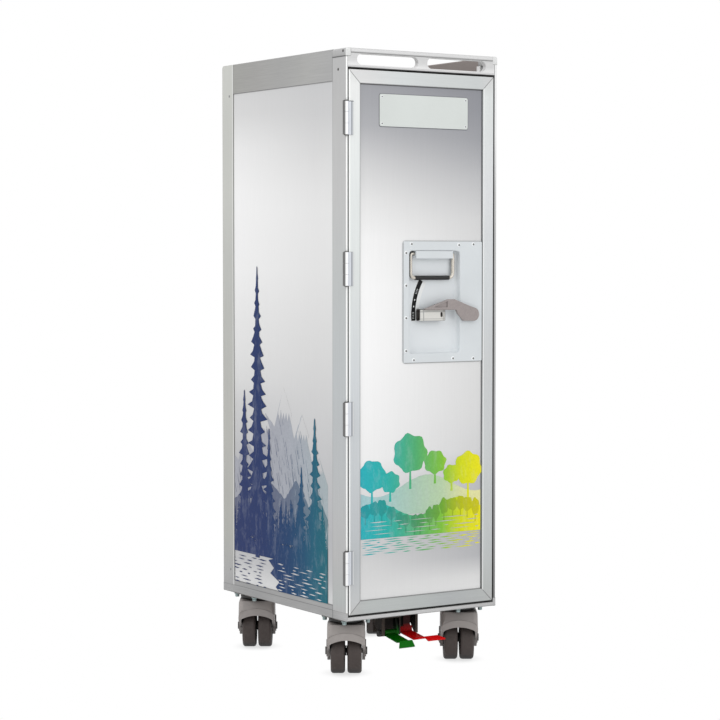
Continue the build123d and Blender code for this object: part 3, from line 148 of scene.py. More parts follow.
def ramp(tree, source, stops):
    """A colour ramp over source. stops are (place, colour), in rising order."""
    low, high = stops[0][0], stops[-1][0]
    span = node(tree, "ShaderNodeMapRange")
    span.inputs["From Min"].default_value = low
    span.inputs["From Max"].default_value = high
    tree.links.new(source, span.inputs["Value"])
    colours = node(tree, "ShaderNodeValToRGB")
    band = colours.color_ramp
    while len(band.elements) < len(stops):
        band.elements.new(0.5)
    for element, (place, colour) in zip(band.elements, stops):
        element.position = (place - low) / (high - low)
        element.color = (*colour, 1)
    tree.links.new(span.outputs["Result"], colours.inputs["Fac"])
    return colours.outputs["Color"]


def mix(tree, fac, a, b, blend="MIX"):
    """Mixes a and b, each a socket or a colour. fac is a socket or a number."""
    mixer = node(tree, "ShaderNodeMix", data_type="RGBA", blend_type=blend)
    for socket, value in ((mixer.inputs[0], fac), (mixer.inputs[6], a), (mixer.inputs[7], b)):
        if isinstance(value, bpy.types.NodeSocket):
            tree.links.new(value, socket)
        elif isinstance(value, float):
            socket.default_value = value
        else:
            socket.default_value = (*value, 1)
    return mixer.outputs[2]


def noise(tree, vector, scale, detail=4.0, rough=0.6):
    made = node(tree, "ShaderNodeTexNoise")
    made.inputs["Scale"].default_value = scale
    made.inputs["Detail"].default_value = detail
    made.inputs["Roughness"].default_value = rough
    tree.links.new(vector, made.inputs["Vector"])
    return made.outputs["Fac"]


def spread(tree, source, low, high, to_low, to_high):
    """Source from low to high, stretched to run from to_low to to_high."""
    made = node(tree, "ShaderNodeMapRange")
    for key, value in (("From Min", low), ("From Max", high), ("To Min", to_low), ("To Max", to_high)):
        made.inputs[key].default_value = value
    tree.links.new(source, made.inputs["Value"])
    return made.outputs["Result"]


def bump(tree, shader, height, strength, distance=0.0002):
    made = node(tree, "ShaderNodeBump")
    made.inputs["Strength"].default_value = strength
    made.inputs["Distance"].default_value = distance
    tree.links.new(height, made.inputs["Height"])
    tree.links.new(made.outputs["Normal"], shader.inputs["Normal"])


def crevice_shade(tree, colour, reach, dark=0.2):
    """Paints shade into joints, corners and recesses that other pieces stand close to, from ambient
    occlusion. reach is in millimetres.
    """
    near = node(tree, "ShaderNodeAmbientOcclusion", samples=8)
    near.inputs["Distance"].default_value = reach * MM
    return mix(tree, 1.0, colour, spread(tree, near.outputs["AO"], 0.25, 0.85, dark, 1.0), "MULTIPLY")


def away(tree, source, direction, place=0.0):
    """How far source is from a place along a direction, either way."""
    part = node(tree, "ShaderNodeVectorMath", operation="DOT_PRODUCT")
    part.inputs[1].default_value = direction
    tree.links.new(source, part.inputs[0])
    offset = node(tree, "ShaderNodeMath", operation="SUBTRACT")
    offset.inputs[1].default_value = place
    tree.links.new(part.outputs["Value"], offset.inputs[0])
    size = node(tree, "ShaderNodeMath", operation="ABSOLUTE")
    tree.links.new(offset.outputs[0], size.inputs[0])
    return size.outputs[0]


def line_mask(tree, where, line):
    """The line's strength along it and 0 away from it. Faces that look across the line stay clear, unless it
    takes them too."""
    distance = away(tree, where, line.across, line.at * MM)
    mask = spread(tree, distance, line.half * MM, (line.half + line.soft) * MM, line.strength, 0.0)
    if line.faces:
        return mask
    normal = node(tree, "ShaderNodeTexCoord").outputs["Normal"]
    kept = node(tree, "ShaderNodeMath", operation="MULTIPLY")
    tree.links.new(mask, kept.inputs[0])
    tree.links.new(spread(tree, away(tree, normal, line.across), 0.75, 0.9, 1.0, 0.0), kept.inputs[1])
    return kept.outputs[0]


def ruled(tree, where, colour, lines):
    """Colour with fine lines painted over it, mostly painted shade and painted highlights."""
    for line in lines:
        colour = mix(tree, line_mask(tree, where, line), colour, line.tone)
    return colour


def linear(value):
    """Linear level of an sRGB value from 0 to 255."""
    v = value / 255
    return v / 12.92 if v <= 0.04045 else ((v + 0.055) / 1.055) ** 2.4


def rgb(r, g, b):
    return (linear(r), linear(g), linear(b))


# ------------------------------------------------------------------ lines and tones
# across is the direction across a line. at is its place along that, half is half its width and soft is its
# soft edge, in millimetres. faces is True where the line also colours faces that look across it.
Line = namedtuple("Line", "across at half soft tone strength faces")
# Painted light: the black line is painted shade in the gaps and seams between parts, the dark, mid and soft
# lines paint shade along edges and rims, and the bright line paints highlights on lips and edges. Only a
# mitre's dark line is the joint's own hairline.
GAP_SHADE = rgb(18, 18, 20)
DARK_LINE = rgb(70, 71, 72)
MID_LINE = rgb(120, 120, 120)
SOFT_LINE = rgb(146, 147, 146)
PAINTED_HIGHLIGHT = rgb(252, 253, 252)
DIAGONAL = math.sqrt(0.5)
BLUISH_BELOW = 215


def x_line(at, half, soft, tone, strength, faces=False):
    return Line((1, 0, 0), at, half, soft, tone, strength, faces)


def y_line(at, half, soft, tone, strength, faces=False):
    return Line((0, 1, 0), at, half, soft, tone, strength, faces)


def z_line(at, half, soft, tone, strength, faces=False):
    return Line((0, 0, 1), at, half, soft, tone, strength, faces)


def mitre(x, z, lean):
    """Hairline of a mitre through (x, z). lean is 1 where x + z is constant along it, else -1."""
    across = (DIAGONAL, 0, lean * DIAGONAL)
    return Line(across, DIAGONAL * (x + lean * z), 0.25, 0.55, DARK_LINE, 0.75, False)


def tones(pairs, lift):
    """Stops of a ramp from (place in millimetres, tone), made brighter by lift. A number is a grey."""
    stops = []
    for place, tone in pairs:
        parts = (tone, tone, tone) if isinstance(tone, (int, float)) else tone
        stops.append((place * MM, rgb(*(min(255, c + lift) for c in parts))))
    return stops


def painted_reflection_tones(pairs):
    """Stops of the painted reflections on the panels' film: greys that turn bluish as they get darker than
    BLUISH_BELOW.
    """
    cooled = []
    for place, tone in pairs:
        cool = max(0.0, (BLUISH_BELOW - tone) / 60)
        cooled.append((place, (tone - cool, tone, tone + 5 * cool)))
    return tones(cooled, 0)


# ------------------------------------------------------------------ finishes
def brushed(name, tone, grain, rough, metal, shade, lines=(), axis="Z", reach=8.0):
    """Brushed, extruded or cast metal. tone is a colour or the stops of a ramp along axis; a ramp paints
    light and shade. grain is how fine the brush marks are along X, Y and Z. Its lines paint shade and
    highlights, and shade is painted into its crevices."""
    mat, tree, shader = material(name)
    where, parts = position(tree)
    marks = noise(tree, scaled(tree, where, grain), 1.0, 5.0, 0.7)
    clouds = noise(tree, scaled(tree, where, (9, 9, 9)), 1.0, 3.0, 0.5)
    base = ramp(tree, parts[axis], tone) if isinstance(tone, list) else tone
    mottled = spread(tree, clouds, 0.35, 0.65, 0.0, shade * 0.8)
    colour = mix(tree, spread(tree, marks, 0.3, 0.7, 0.0, shade), base, (0.25, 0.25, 0.26), "MULTIPLY")
    colour = mix(tree, mottled, colour, (0.7, 0.7, 0.71), "MULTIPLY")
    colour = crevice_shade(tree, ruled(tree, where, colour, lines), reach)
    tree.links.new(colour, shader.inputs["Base Color"])
    tree.links.new(spread(tree, marks, 0.2, 0.8, rough - 0.06, rough + 0.10), shader.inputs["Roughness"])
    shader.inputs["Metallic"].default_value = metal
    bump(tree, shader, marks, 0.12)
    return mat


def plastic(name, colour, rough, scale, depth, worn):
    """Moulded plastic or rubber with a fine grain, paler worn patches and painted shade in its crevices."""
    mat, tree, shader = material(name)
    where, _ = position(tree)
    grain = noise(tree, where, scale, 3.0, 0.6)
    patches = noise(tree, where, 40.0, 4.0, 0.6)
    paler = tuple(min(1, c * 1.6 + 0.02) for c in colour)
    varied = mix(tree, spread(tree, patches, 0.35, 0.7, 0.0, worn), colour, paler)
    tree.links.new(crevice_shade(tree, varied, 14.0, 0.12), shader.inputs["Base Color"])
    tree.links.new(spread(tree, grain, 0.3, 0.7, rough - 0.08, rough + 0.12), shader.inputs["Roughness"])
    bump(tree, shader, grain, depth)
    return mat


def paint(name, colour, rough, coat, lines=(), reach=10.0, dark=0.2, gloss=0.5):
    """Sprayed paint with a faint orange peel, painted shade in its crevices and the painted light and shade
    of its lines.
    """
    mat, tree, shader = material(name)
    where, _ = position(tree)
    skin = noise(tree, where, 300.0, 2.0, 0.5)
    clouds = noise(tree, where, 14.0, 3.0, 0.5)
    darker = tuple(c * 0.85 for c in colour)
    varied = mix(tree, spread(tree, clouds, 0.35, 0.65, 0.0, 0.25), colour, darker)
    varied = crevice_shade(tree, ruled(tree, where, varied, lines), reach, dark)
    tree.links.new(varied, shader.inputs["Base Color"])
    tree.links.new(spread(tree, skin, 0.3, 0.7, rough, rough + 0.08), shader.inputs["Roughness"])
    shader.inputs["Coat Weight"].default_value = coat
    shader.inputs["Specular IOR Level"].default_value = gloss
    bump(tree, shader, skin, 0.06)
    return mat


def panel(name, first, second, axis, low, high, lines):
    """Brushed film on a sandwich panel, with painted soft bands of reflected light and shade and painted
    shade in its crevices. first holds the bands' greys at low on axis, and second those at high."""
    mat, tree, shader = material(name)
    where, parts = position(tree)
    across = spread(tree, parts[axis], low, high, 0.0, 1.0)
    sides = [ramp(tree, parts["Z"], painted_reflection_tones(stops)) for stops in (first, second)]
    base = mix(tree, across, sides[0], sides[1])
    marks = noise(tree, scaled(tree, where, VERTICAL), 1.0, 5.0, 0.7)
    colour = mix(tree, spread(tree, marks, 0.3, 0.7, 0.0, 0.06), base, (0.45, 0.45, 0.47), "MULTIPLY")
    colour = crevice_shade(tree, ruled(tree, where, colour, lines), 6.0, 0.3)
    tree.links.new(colour, shader.inputs["Base Color"])
    tree.links.new(spread(tree, marks, 0.2, 0.8, 0.30, 0.42), shader.inputs["Roughness"])
    shader.inputs["Metallic"].default_value = 0.25
    bump(tree, shader, marks, 0.06)
    return mat


def ink(name, stops, axis):
    """Printed colour that runs through stops along an axis, with the uneven cover of a screen print."""
    mat, tree, shader = material(name)
    where, parts = position(tree)
    colour = ramp(tree, parts[axis], stops)
    dots = noise(tree, where, 220.0, 4.0, 0.75)
    blots = noise(tree, scaled(tree, where, (60, 60, 25)), 1.0, 6.0, 0.7)
    varied = mix(tree, spread(tree, blots, 0.5, 0.78, 0.0, 0.22), colour, (0.62, 0.66, 0.72))
    varied = mix(tree, spread(tree, dots, 0.35, 0.7, 0.0, 0.3), varied, (0.55, 0.55, 0.6), "MULTIPLY")
    tree.links.new(varied, shader.inputs["Base Color"])
    shader.inputs["Roughness"].default_value = 0.5
    shader.inputs["Specular IOR Level"].default_value = 0.2
    return mat


# ------------------------------------------------------------------ the frame's members
VERTICAL = (900, 900, 12)
ALONG_X = (12, 900, 900)
ALONG_Y = (900, 12, 900)
ROUND = (300, 300, 300)

MITRE_TOP_LEFT = mitre(LEFT_LOW[0], LEFT_HIGH[2], 1)
MITRE_FOOT_LEFT = mitre(LEFT_LOW[0], LEFT_LOW[2], -1)
MITRE_TOP_RIGHT = mitre(RIGHT_HIGH[0], RIGHT_HIGH[2], -1)
MITRE_FOOT_RIGHT = mitre(RIGHT_HIGH[0], RIGHT_LOW[2], 1)

# Painted light: each member's ramp gives the light and shade measured along it, and its lines paint shade in
# its gaps and along its edges and highlights on its lips.
post_left_mat = brushed(
    "post_left_satin",
    tones([(114, 176), (130, (177, 181, 180)), (200, 182), (350, (183, 186, 188)), (500, (184, 188, 190)),
           (650, (187, 190, 190)), (800, 191), (900, 187), (960, 183), (1017, 182)], 6),
    VERTICAL, 0.42, 0.3, 0.12,
    [y_line(POST_LOW[1], 0.7, 0.9, PAINTED_HIGHLIGHT, 0.9, True),
     x_line(HEADER_LOW[0], 0.35, 0.5, GAP_SHADE, 0.9), y_line(POST_HIGH[1], 0.4, 0.8, MID_LINE, 0.6),
     z_line(POST_HIGH[2], 0.5, 0.8, DARK_LINE, 0.7)])
post_right_mat = brushed(
    "post_right_satin",
    tones([(114, 118), (200, 140), (350, 168), (500, 174), (650, 184), (800, 196), (900, 236),
           (1017, 240)], 0),
    VERTICAL, 0.42, 0.3, 0.12,
    [x_line(HEADER_HIGH[0], 0.45, 0.6, GAP_SHADE, 0.9),
     x_line(RIGHT_POST_HIGH[0], 0.5, 0.6, MID_LINE, 0.8)])
rear_post_mat = brushed(
    "rear_post_satin",
    tones([(114, 162), (130, 167), (200, (172, 173, 168)), (350, (179, 179, 174)), (650, (185, 186, 182)),
           (800, (194, 195, 190)), (900, (195, 196, 191)), (1030, (199, 200, 195))], 6),
    VERTICAL, 0.42, 0.3, 0.12,
    [y_line(SKIN_HIGH[1], 0.3, 0.5, DARK_LINE, 0.6), y_line(SKIN_HIGH[1] + 2.0, 0.7, 0.9, PAINTED_HIGHLIGHT, 0.5),
     y_line(REAR_POST_HIGH[1], 0.6, 1.2, MID_LINE, 0.6)])
stile_left_mat = brushed(
    "stile_left_satin",
    tones([(109, 196), (130, (196, 198, 199)), (200, (186, 190, 193)), (350, (199, 203, 206)),
           (500, (208, 212, 215)), (650, (218, 222, 221)), (800, (225, 229, 228)), (900, (228, 231, 230)),
           (972, (230, 231, 230)), (996, (214, 216, 215))], 2),
    VERTICAL, 0.40, 0.3, 0.10,
    [MITRE_TOP_LEFT, MITRE_FOOT_LEFT, x_line(LEFT_LOW[0], 0.3, 0.5, GAP_SHADE, 0.85),
     x_line(LEFT_LOW[0] + 2.0, 0.7, 0.8, PAINTED_HIGHLIGHT, 0.85), x_line(LEFT_HIGH[0], 0.4, 0.8, MID_LINE, 0.75)])
stile_right_mat = brushed(
    "stile_right_satin",
    tones([(109, 178), (130, (179, 182, 181)), (200, (187, 191, 191)), (350, (197, 201, 201)),
           (500, (199, 201, 202)), (650, (206, 210, 212)), (800, (215, 217, 219)), (960, (216, 220, 219)),
           (996, 204)], 5),
    VERTICAL, 0.40, 0.3, 0.10,
    [MITRE_TOP_RIGHT, MITRE_FOOT_RIGHT, x_line(RIGHT_HIGH[0], 0.5, 0.6, GAP_SHADE, 0.85),
     x_line(RIGHT_LOW[0], 0.5, 0.8, DARK_LINE, 0.8), x_line(RIGHT_LOW[0] + 2.2, 0.5, 0.8, PAINTED_HIGHLIGHT, 0.6)])
rail_top_mat = brushed(
    "rail_top_satin",
    tones([(-147, 214), (-110, 213), (-50, (206, 210, 210)), (50, (199, 203, 202)), (110, (196, 200, 200)),
           (145, 204)], 5),
    ALONG_X, 0.40, 0.3, 0.10,
    [MITRE_TOP_LEFT, MITRE_TOP_RIGHT, z_line(TOP_LOW[2], 0.5, 0.8, DARK_LINE, 0.7),
     z_line(TOP_HIGH[2], 0.4, 0.5, GAP_SHADE, 0.85)], "X")
rail_foot_mat = brushed(
    "rail_foot_satin",
    tones([(-147, 184), (-110, (182, 186, 185)), (0, (180, 184, 183)), (50, (173, 176, 177)),
           (145, (179, 182, 181))], 5),
    ALONG_X, 0.40, 0.3, 0.14,
    [MITRE_FOOT_LEFT, MITRE_FOOT_RIGHT, z_line(FOOT_HIGH[2], 0.3, 0.7, MID_LINE, 0.6),
     z_line(FOOT_LOW[2], 0.7, 0.8, GAP_SHADE, 0.9)], "X")
header_mat = brushed(
    "header_satin",
    tones([(988, 188), (999, 190), (1003, 226), (1012, 206), (1021, 204), (1023.5, 168), (1025, 214),
           (1030, 212)], 5),
    ALONG_X, 0.42, 0.3, 0.12,
    [z_line(HEADER_EDGE, 0.9, 0.7, GAP_SHADE, 0.95), z_line(HEADER_HIGH[2], 0.35, 0.7, MID_LINE, 0.8),
     z_line(HEADER_HIGH[2] - 7.5, 0.3, 0.7, MID_LINE, 0.7), y_line(HEADER_HIGH[1], 0.5, 1.0, MID_LINE, 0.6)])
cap_mat = brushed(
    "cap_cast",
    tones([(1016, 164), (1022, 178), (1030, 190)], 0),
    ROUND, 0.45, 0.3, 0.10,
    [z_line(CAP_LOW[2], 0.5, 0.9, DARK_LINE, 0.9), y_line(CAP_HIGH[1], 0.3, 0.8, MID_LINE, 0.7),
     y_line(CAP_LOW[1], 0.8, 1.6, PAINTED_HIGHLIGHT, 0.5, True), z_line(CAP_HIGH[2], 0.2, 0.7, MID_LINE, 0.6)])
band_mat = brushed(
    "band_matt",
    tones([(-161, 169), (-80, (168, 168, 166)), (0, (161, 161, 160)), (80, (159, 158, 156)),
           (164, (157, 157, 153))], 9),
    ALONG_Y, 0.5, 0.3, 0.2,
    [z_line(BAND_HIGH[2], 0.3, 0.9, MID_LINE, 0.8), z_line(BAND_LOW[2], 0.3, 0.9, MID_LINE, 0.8),
     y_line(BAND_LOW[1], 0.3, 0.8, MID_LINE, 0.8), y_line(BAND_HIGH[1], 0.3, 0.8, MID_LINE, 0.8),
     x_line(0.0, BAND_HIGH[0] - 2.8, 1.2, rgb(140, 130, 126), 0.85, True)], "Y")
low_band_mat = brushed(
    "band_low",
    tones([(-203, 178), (-161, 160), (0, 156), (80, 151), (164, 158), (203, 164)], 10),
    ALONG_Y, 0.48, 0.3, 0.24,
    [z_line(LOW_BAND_HIGH[2], 0.3, 0.8, MID_LINE, 0.7), z_line(LOW_BAND_LOW[2], 0.5, 1.0, DARK_LINE, 0.8),
     y_line(LOW_BAND_LOW[1], 0.4, 0.8, DARK_LINE, 0.7), z_line(POST_LOW[2], 0.3, 0.6, DARK_LINE, 0.5)], "Y")
sill_mat = brushed(
    "sill_satin",
    tones([(-148, 196), (0, 196), (50, 190), (146, 184)], 5),
    ALONG_X, 0.42, 0.3, 0.16,
    [z_line(SILL_TOP, 0.6, 0.7, GAP_SHADE, 0.9), z_line(SILL_LOW[2], 0.6, 1.0, DARK_LINE, 0.8)], "X")
inner_mat = brushed("inner_sheet", rgb(176, 170, 166), (12, 500, 500), 0.5, 0.4, 0.15)
tray_mat = brushed("tray_sheet", rgb(146, 138, 134), (12, 300, 500), 0.5, 0.3, 0.25, reach=20.0)

# ------------------------------------------------------------------ fittings
steel_mat = brushed("bright_steel", rgb(206, 200, 190), ROUND, 0.22, 0.85, 0.1)
bright_mat = brushed("bright_highlight_and_rivets", rgb(244, 247, 248), ROUND, 0.4, 0.1, 0.05, reach=2.0)
screw_mat = brushed("screw_steel", rgb(150, 152, 152), ROUND, 0.3, 0.5, 0.3, reach=3.0)
dark_screw_mat = brushed("screw_dark", rgb(86, 84, 82), ROUND, 0.35, 0.5, 0.3, reach=3.0)
nut_mat = brushed("plated_nut", rgb(168, 186, 186), ROUND, 0.3, 0.5, 0.3, reach=4.0)
# Painted light: the ramp across X paints the knuckle's white highlight with dark shade at its left edge, and
# the shadow strip it throws on the leaf.
hinge_mat = brushed(
    "hinge_steel_painted_light",
    tones([(-158, 100), (-156.2, 110), (-155.2, 250), (-153.0, 252), (-151.4, (216, 219, 226)),
           (-143.4, (222, 226, 232)), (-142.2, (158, 161, 168)), (-140.0, (160, 163, 170)),
           (-139.0, (206, 210, 210)), (-137, 216)], 3),
    VERTICAL, 0.3, 0.35, 0.08,
    [z_line(HINGE_HIGH[2], 0.5, 0.9, DARK_LINE, 0.9)], "X")
lever_mat = brushed("lever_cast", rgb(164, 155, 153), (400, 400, 400), 0.5, 0.25, 0.3, reach=16.0)
# Painted light: the lines paint shade round the channel's rims, and the dark brown at its back is painted
# shade inside the channel.
trigger_mat = brushed(
    "trigger_sheet", rgb(216, 215, 210), ROUND, 0.32, 0.4, 0.08,
    [z_line(TRIGGER_HIGH[2], 0.8, 0.9, DARK_LINE, 0.85),
     z_line(TRIGGER_HIGH[2] - 4.0, 0.5, 0.9, SOFT_LINE, 0.7),
     x_line(TRIGGER_HIGH[0], 0.8, 0.9, DARK_LINE, 0.85),
     x_line(TRIGGER_HIGH[0] - 4.0, 0.4, 0.8, MID_LINE, 0.7),
     x_line(TRIGGER_LOW[0] + 6.5, 0.5, 0.9, SOFT_LINE, 0.8),
     z_line(TRIGGER_LOW[2], 0.4, 0.9, SOFT_LINE, 0.8),
     z_line(TRIGGER_LOW[2] + 3.4, 0.3, 0.9, SOFT_LINE, 0.5),
     y_line(TRIGGER_HIGH[1] - 2.0, 3.5, 2.0, rgb(44, 34, 30), 0.9, True)])
# Painted light: the lines paint shade along the pan's outer edges, and its recess floor and the foot of its
# walls are painted lighter against the shade there; its crevice shade is kept faint.
pan_mat = paint(
    "pan_paint", rgb(214, 219, 222), 0.35, 0.2,
    [x_line(PAN_LOW[0], 0.6, 0.8, MID_LINE, 0.85), z_line(PAN_LOW[2], 0.6, 0.8, MID_LINE, 0.85),
     z_line(PAN_HIGH[2], 0.4, 0.8, SOFT_LINE, 0.7), x_line(PAN_HIGH[0], 0.6, 0.8, DARK_LINE, 0.8),
     y_line(PAN_FLOOR, 1.0, 9.0, rgb(234, 238, 241), 0.55, True)], reach=3.0, dark=0.75)
# Painted shadow: the pedals' arms turn near black from about 60 mm up, where they rise into the shade under
# the cart; shade is painted deep into their crevices too.
PEDAL_TOP_SHADOW = [z_line(98.0, 25.0, 15.0, rgb(14, 11, 10), 0.96, True)]
red_mat = paint("red_paint", rgb(214, 0, 2), 0.4, 0.0, PEDAL_TOP_SHADOW, 36.0, 0.06, 0.12)
green_mat = paint("green_paint", rgb(0, 104, 2), 0.4, 0.0, PEDAL_TOP_SHADOW, 36.0, 0.06, 0.12)
# Painted shade: the brake bracket and the caster plates take crevice shade from far off, which turns their
# insides nearly black.
bracket_mat = paint("bracket_paint", rgb(92, 82, 75), 0.6, 0.0, reach=70.0, dark=0.01, gloss=0.2)
plate_steel_mat = paint("plate_steel", rgb(130, 122, 116), 0.5, 0.0, reach=20.0, dark=0.05)
caster_mat = plastic("caster_moulding", rgb(150, 144, 141), 0.5, 900.0, 0.2, 0.1)
tread_mat = plastic("wheel_moulding", rgb(60, 51, 48), 0.6, 500.0, 0.35, 0.2)
black_mat = plastic("black_moulding", rgb(12, 12, 12), 0.5, 700.0, 0.2, 0.05)
seal_mat = plastic("seal_rubber", rgb(30, 30, 30), 0.65, 700.0, 0.2, 0.1)

# ------------------------------------------------------------------ the panels' film
# Painted reflections: each list gives the greys of the bands of reflected light and shade painted up one
# edge of a panel, by height in millimetres.
DOOR_LEFT = [(108, 218), (145, 219), (190, 210), (206, 204), (250, 206), (330, 225), (362, 238), (540, 246),
             (640, 245), (721, 239), (786, 224), (851, 200), (907, 170), (947, 160), (996, 150)]
DOOR_RIGHT = [(108, 218), (138, 222), (155, 217), (172, 199), (189, 180), (240, 176), (330, 190),
              (367, 209), (427, 215), (540, 219), (640, 219), (722, 213), (756, 209), (823, 187),
              (856, 171), (890, 156), (937, 144), (996, 138)]
SIDE_REAR = [(100, 215), (132, 214), (160, 190), (230, 178), (336, 184), (372, 192), (442, 205), (478, 217),
             (530, 225), (671, 240), (776, 243), (811, 242), (880, 234), (915, 224), (941, 215), (985, 209)]
SIDE_FRONT = [(100, 212), (132, 208), (160, 190), (230, 180), (336, 190), (442, 205), (530, 215),
              (671, 227), (738, 229), (771, 229), (804, 226), (837, 221), (927, 203), (985, 198)]
door_mat = panel(
    "door_film_and_reflections", DOOR_LEFT, DOOR_RIGHT, "X", -0.108, 0.118,
    [x_line(LEFT_HIGH[0], 0.7, 1.0, MID_LINE, 0.8), x_line(RIGHT_LOW[0], 0.9, 1.2, DARK_LINE, 0.8),
     z_line(TOP_LOW[2], 0.9, 1.2, DARK_LINE, 0.75), z_line(FOOT_HIGH[2], 0.5, 0.9, SOFT_LINE, 0.7)])
side_mat = panel(
    "side_film_and_reflections", SIDE_REAR, SIDE_FRONT, "Y", 0.150, -0.105,
    [y_line(SKIN_LOW[1], 0.5, 0.9, MID_LINE, 0.8), y_line(SKIN_HIGH[1], 0.4, 0.9, MID_LINE, 0.8),
     z_line(SKIN_LOW[2], 0.4, 0.8, MID_LINE, 0.7), z_line(SKIN_HIGH[2], 0.3, 0.8, SOFT_LINE, 0.6)])

# ------------------------------------------------------------------ finishes of the CAD nodes
LOOKS = {
    "front_post_left": post_left_mat, "front_post_right": post_right_mat, "rear_posts": rear_post_mat,
    "top_corner_caps": cap_mat, "base_corner_blocks": low_band_mat, "front_handle_rail": header_mat,
    "rear_handle_rail": band_mat, "top_bands": band_mat, "bottom_bands": low_band_mat,
    "front_sill": sill_mat, "side_panel_left": side_mat, "side_panel_right": side_mat,
    "back_panel": side_mat, "top_tray": tray_mat, "floor_panel": inner_mat, "tray_runners": inner_mat,
    "base_plate": inner_mat,
    "door_stile_left": stile_left_mat, "door_stile_right": stile_right_mat, "door_rail_top": rail_top_mat,
    "door_rail_bottom": rail_foot_mat, "door_panel": door_mat, "door_seal": seal_mat,
    "hinge_body_leaves": hinge_mat, "hinge_door_leaves": hinge_mat, "hinge_pins": dark_screw_mat,
    "latch_pan": pan_mat, "latch_lever": lever_mat, "latch_spindle": steel_mat, "latch_bolt": steel_mat,
    "latch_strike": steel_mat, "trigger": trigger_mat, "bail": steel_mat, "bail_grip": black_mat,
    "caster_plates": plate_steel_mat, "swivel_rings": black_mat, "brake_bracket": bracket_mat,
    "pedal_bolt": black_mat, "brake_bearings": steel_mat, "brake_shaft": steel_mat, "brake_pedal": red_mat,
    "release_pedal": green_mat, "brake_plunger_left": steel_mat, "brake_plunger_right": steel_mat,
}
CASTER_LOOKS = {"housing": caster_mat, "axle": dark_screw_mat, "wheel": tread_mat}
for name, shape in nodes.items():
    look = LOOKS.get(name) or CASTER_LOOKS[name.split("_")[1]]
    shape.data.materials.clear()
    shape.data.materials.append(look)


# ------------------------------------------------------------------ mesh helpers
def add_piece(name, mesh, mat, body):
    """Puts a mesh in the scene as a piece that rides on a body and takes its finish from a slot."""
    mesh.materials.append(mat)
    piece = bpy.data.objects.new(name, mesh)
    bpy.context.collection.objects.link(piece)
    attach(piece, body)


def add_bmesh(name, bm, mat, body):
    mesh = bpy.data.meshes.new(name)
    bm.to_mesh(mesh)
    bm.free()
    add_piece(name, mesh, mat, body)


def lathe(name, profile, spots, axis, mat, body, steps=20):
    """Turned small parts, one at each spot. profile is (radius, height) along axis, in millimetres."""
    axis = Vector(axis).normalized()
    side = axis.orthogonal().normalized()
    other = axis.cross(side)
    turns = [2 * math.pi * i / steps for i in range(steps)]
    rim = [side * math.cos(angle) + other * math.sin(angle) for angle in turns]
    verts, faces = [], []
    for spot in spots:
        base = Vector([c * MM for c in spot])
        start = len(verts)
        for radius, height in profile:
            verts += [base + spoke * radius * MM + axis * height * MM for spoke in rim]
        rows = len(profile)
        for row in range(rows - 1):
            for i in range(steps):
                a = start + row * steps + i
                b = start + row * steps + (i + 1) % steps
                faces.append((a, b, b + steps, a + steps))
        faces.append(tuple(start + (rows - 1) * steps + i for i in range(steps)))
        faces.append(tuple(start + i for i in reversed(range(steps))))
    mesh = bpy.data.meshes.new(name)
    mesh.from_pydata([tuple(v) for v in verts], [], faces)
    mesh.update()
    for face in mesh.polygons:
        face.use_smooth = True
    add_piece(name, mesh, mat, body)


STAGGER_CYCLE = 61


def flat_shape(name, outlines, place, mat, body, stagger=0.0):
    """Thin printed shapes. outlines are lists of (u, v) in millimetres; place(u, v, lift) gives a point.
    stagger lifts one outline a little over the next, so that those that overlap don't share a plane."""
    bm = bmesh.new()
    outward = (place(0, 0, 1) - place(0, 0, 0)).normalized()
    for index, points in enumerate(outlines):
        lift = stagger * (index % STAGGER_CYCLE)
        bm.faces.new([bm.verts.new(place(u, v, lift)) for u, v in points])
    bm.normal_update()
    for face in bm.faces:
        if face.normal.dot(outward) < 0:
            face.normal_flip()
    bmesh.ops.triangulate(bm, faces=bm.faces[:], ngon_method="EAR_CLIP")
    add_bmesh(name, bm, mat, body)


def sheet_plate(name, outline, back, thick, mat, body):
    """A thin plate whose back lies on the plane y = back, with its front edge broken."""
    bm = bmesh.new()
    sheet = bm.faces.new([bm.verts.new((u * MM, back * MM, v * MM)) for u, v in outline])
    extruded = bmesh.ops.extrude_face_region(bm, geom=[sheet])
    front = [v for v in extruded["geom"] if isinstance(v, bmesh.types.BMVert)]
    bmesh.ops.translate(bm, verts=front, vec=(0, -thick * MM, 0))
    rim = [e for e in extruded["geom"] if isinstance(e, bmesh.types.BMEdge)]
    bmesh.ops.bevel(bm, geom=rim, offset=thick * 0.4 * MM, segments=2, affect="EDGES", profile=0.5)
    bmesh.ops.recalc_face_normals(bm, faces=bm.faces[:])
    add_bmesh(name, bm, mat, body)


def rounded(u0, v0, u1, v1, radius, steps=5):
    """Outline of a rectangle with round corners."""
    points = []
    corners = ((u1 - radius, v0 + radius, -90), (u1 - radius, v1 - radius, 0),
               (u0 + radius, v1 - radius, 90), (u0 + radius, v0 + radius, 180))
    for cu, cv, start in corners:
        for i in range(steps + 1):
            angle = math.radians(start + 90 * i / steps)
            points.append((cu + radius * math.cos(angle), cv + radius * math.sin(angle)))
    return points


# ------------------------------------------------------------------ floor and light
FLOOR_WIDTH = 60
FLOOR_TONE = (0.9, 0.9, 0.9, 1)
WHITE = (1, 1, 1, 1)
SHADOW_REACH = 45
SHADOW_LEVEL = 0.72
SKY_LEVEL = 0.78
# A lamp is (name, place, aim, size, power).
LAMPS = [("key_left", (-3.2, -1.2, 2.2), (0, 0, 0.6), (1.6, 2.4), 26),
         ("key_front", (0.9, -3.6, 1.8), (0, 0, 0.6), (1.4, 2.4), 16),
         ("top", (0, -0.2, 3.2), (0, 0, 1.0), (2.5, 2.5), 14)]


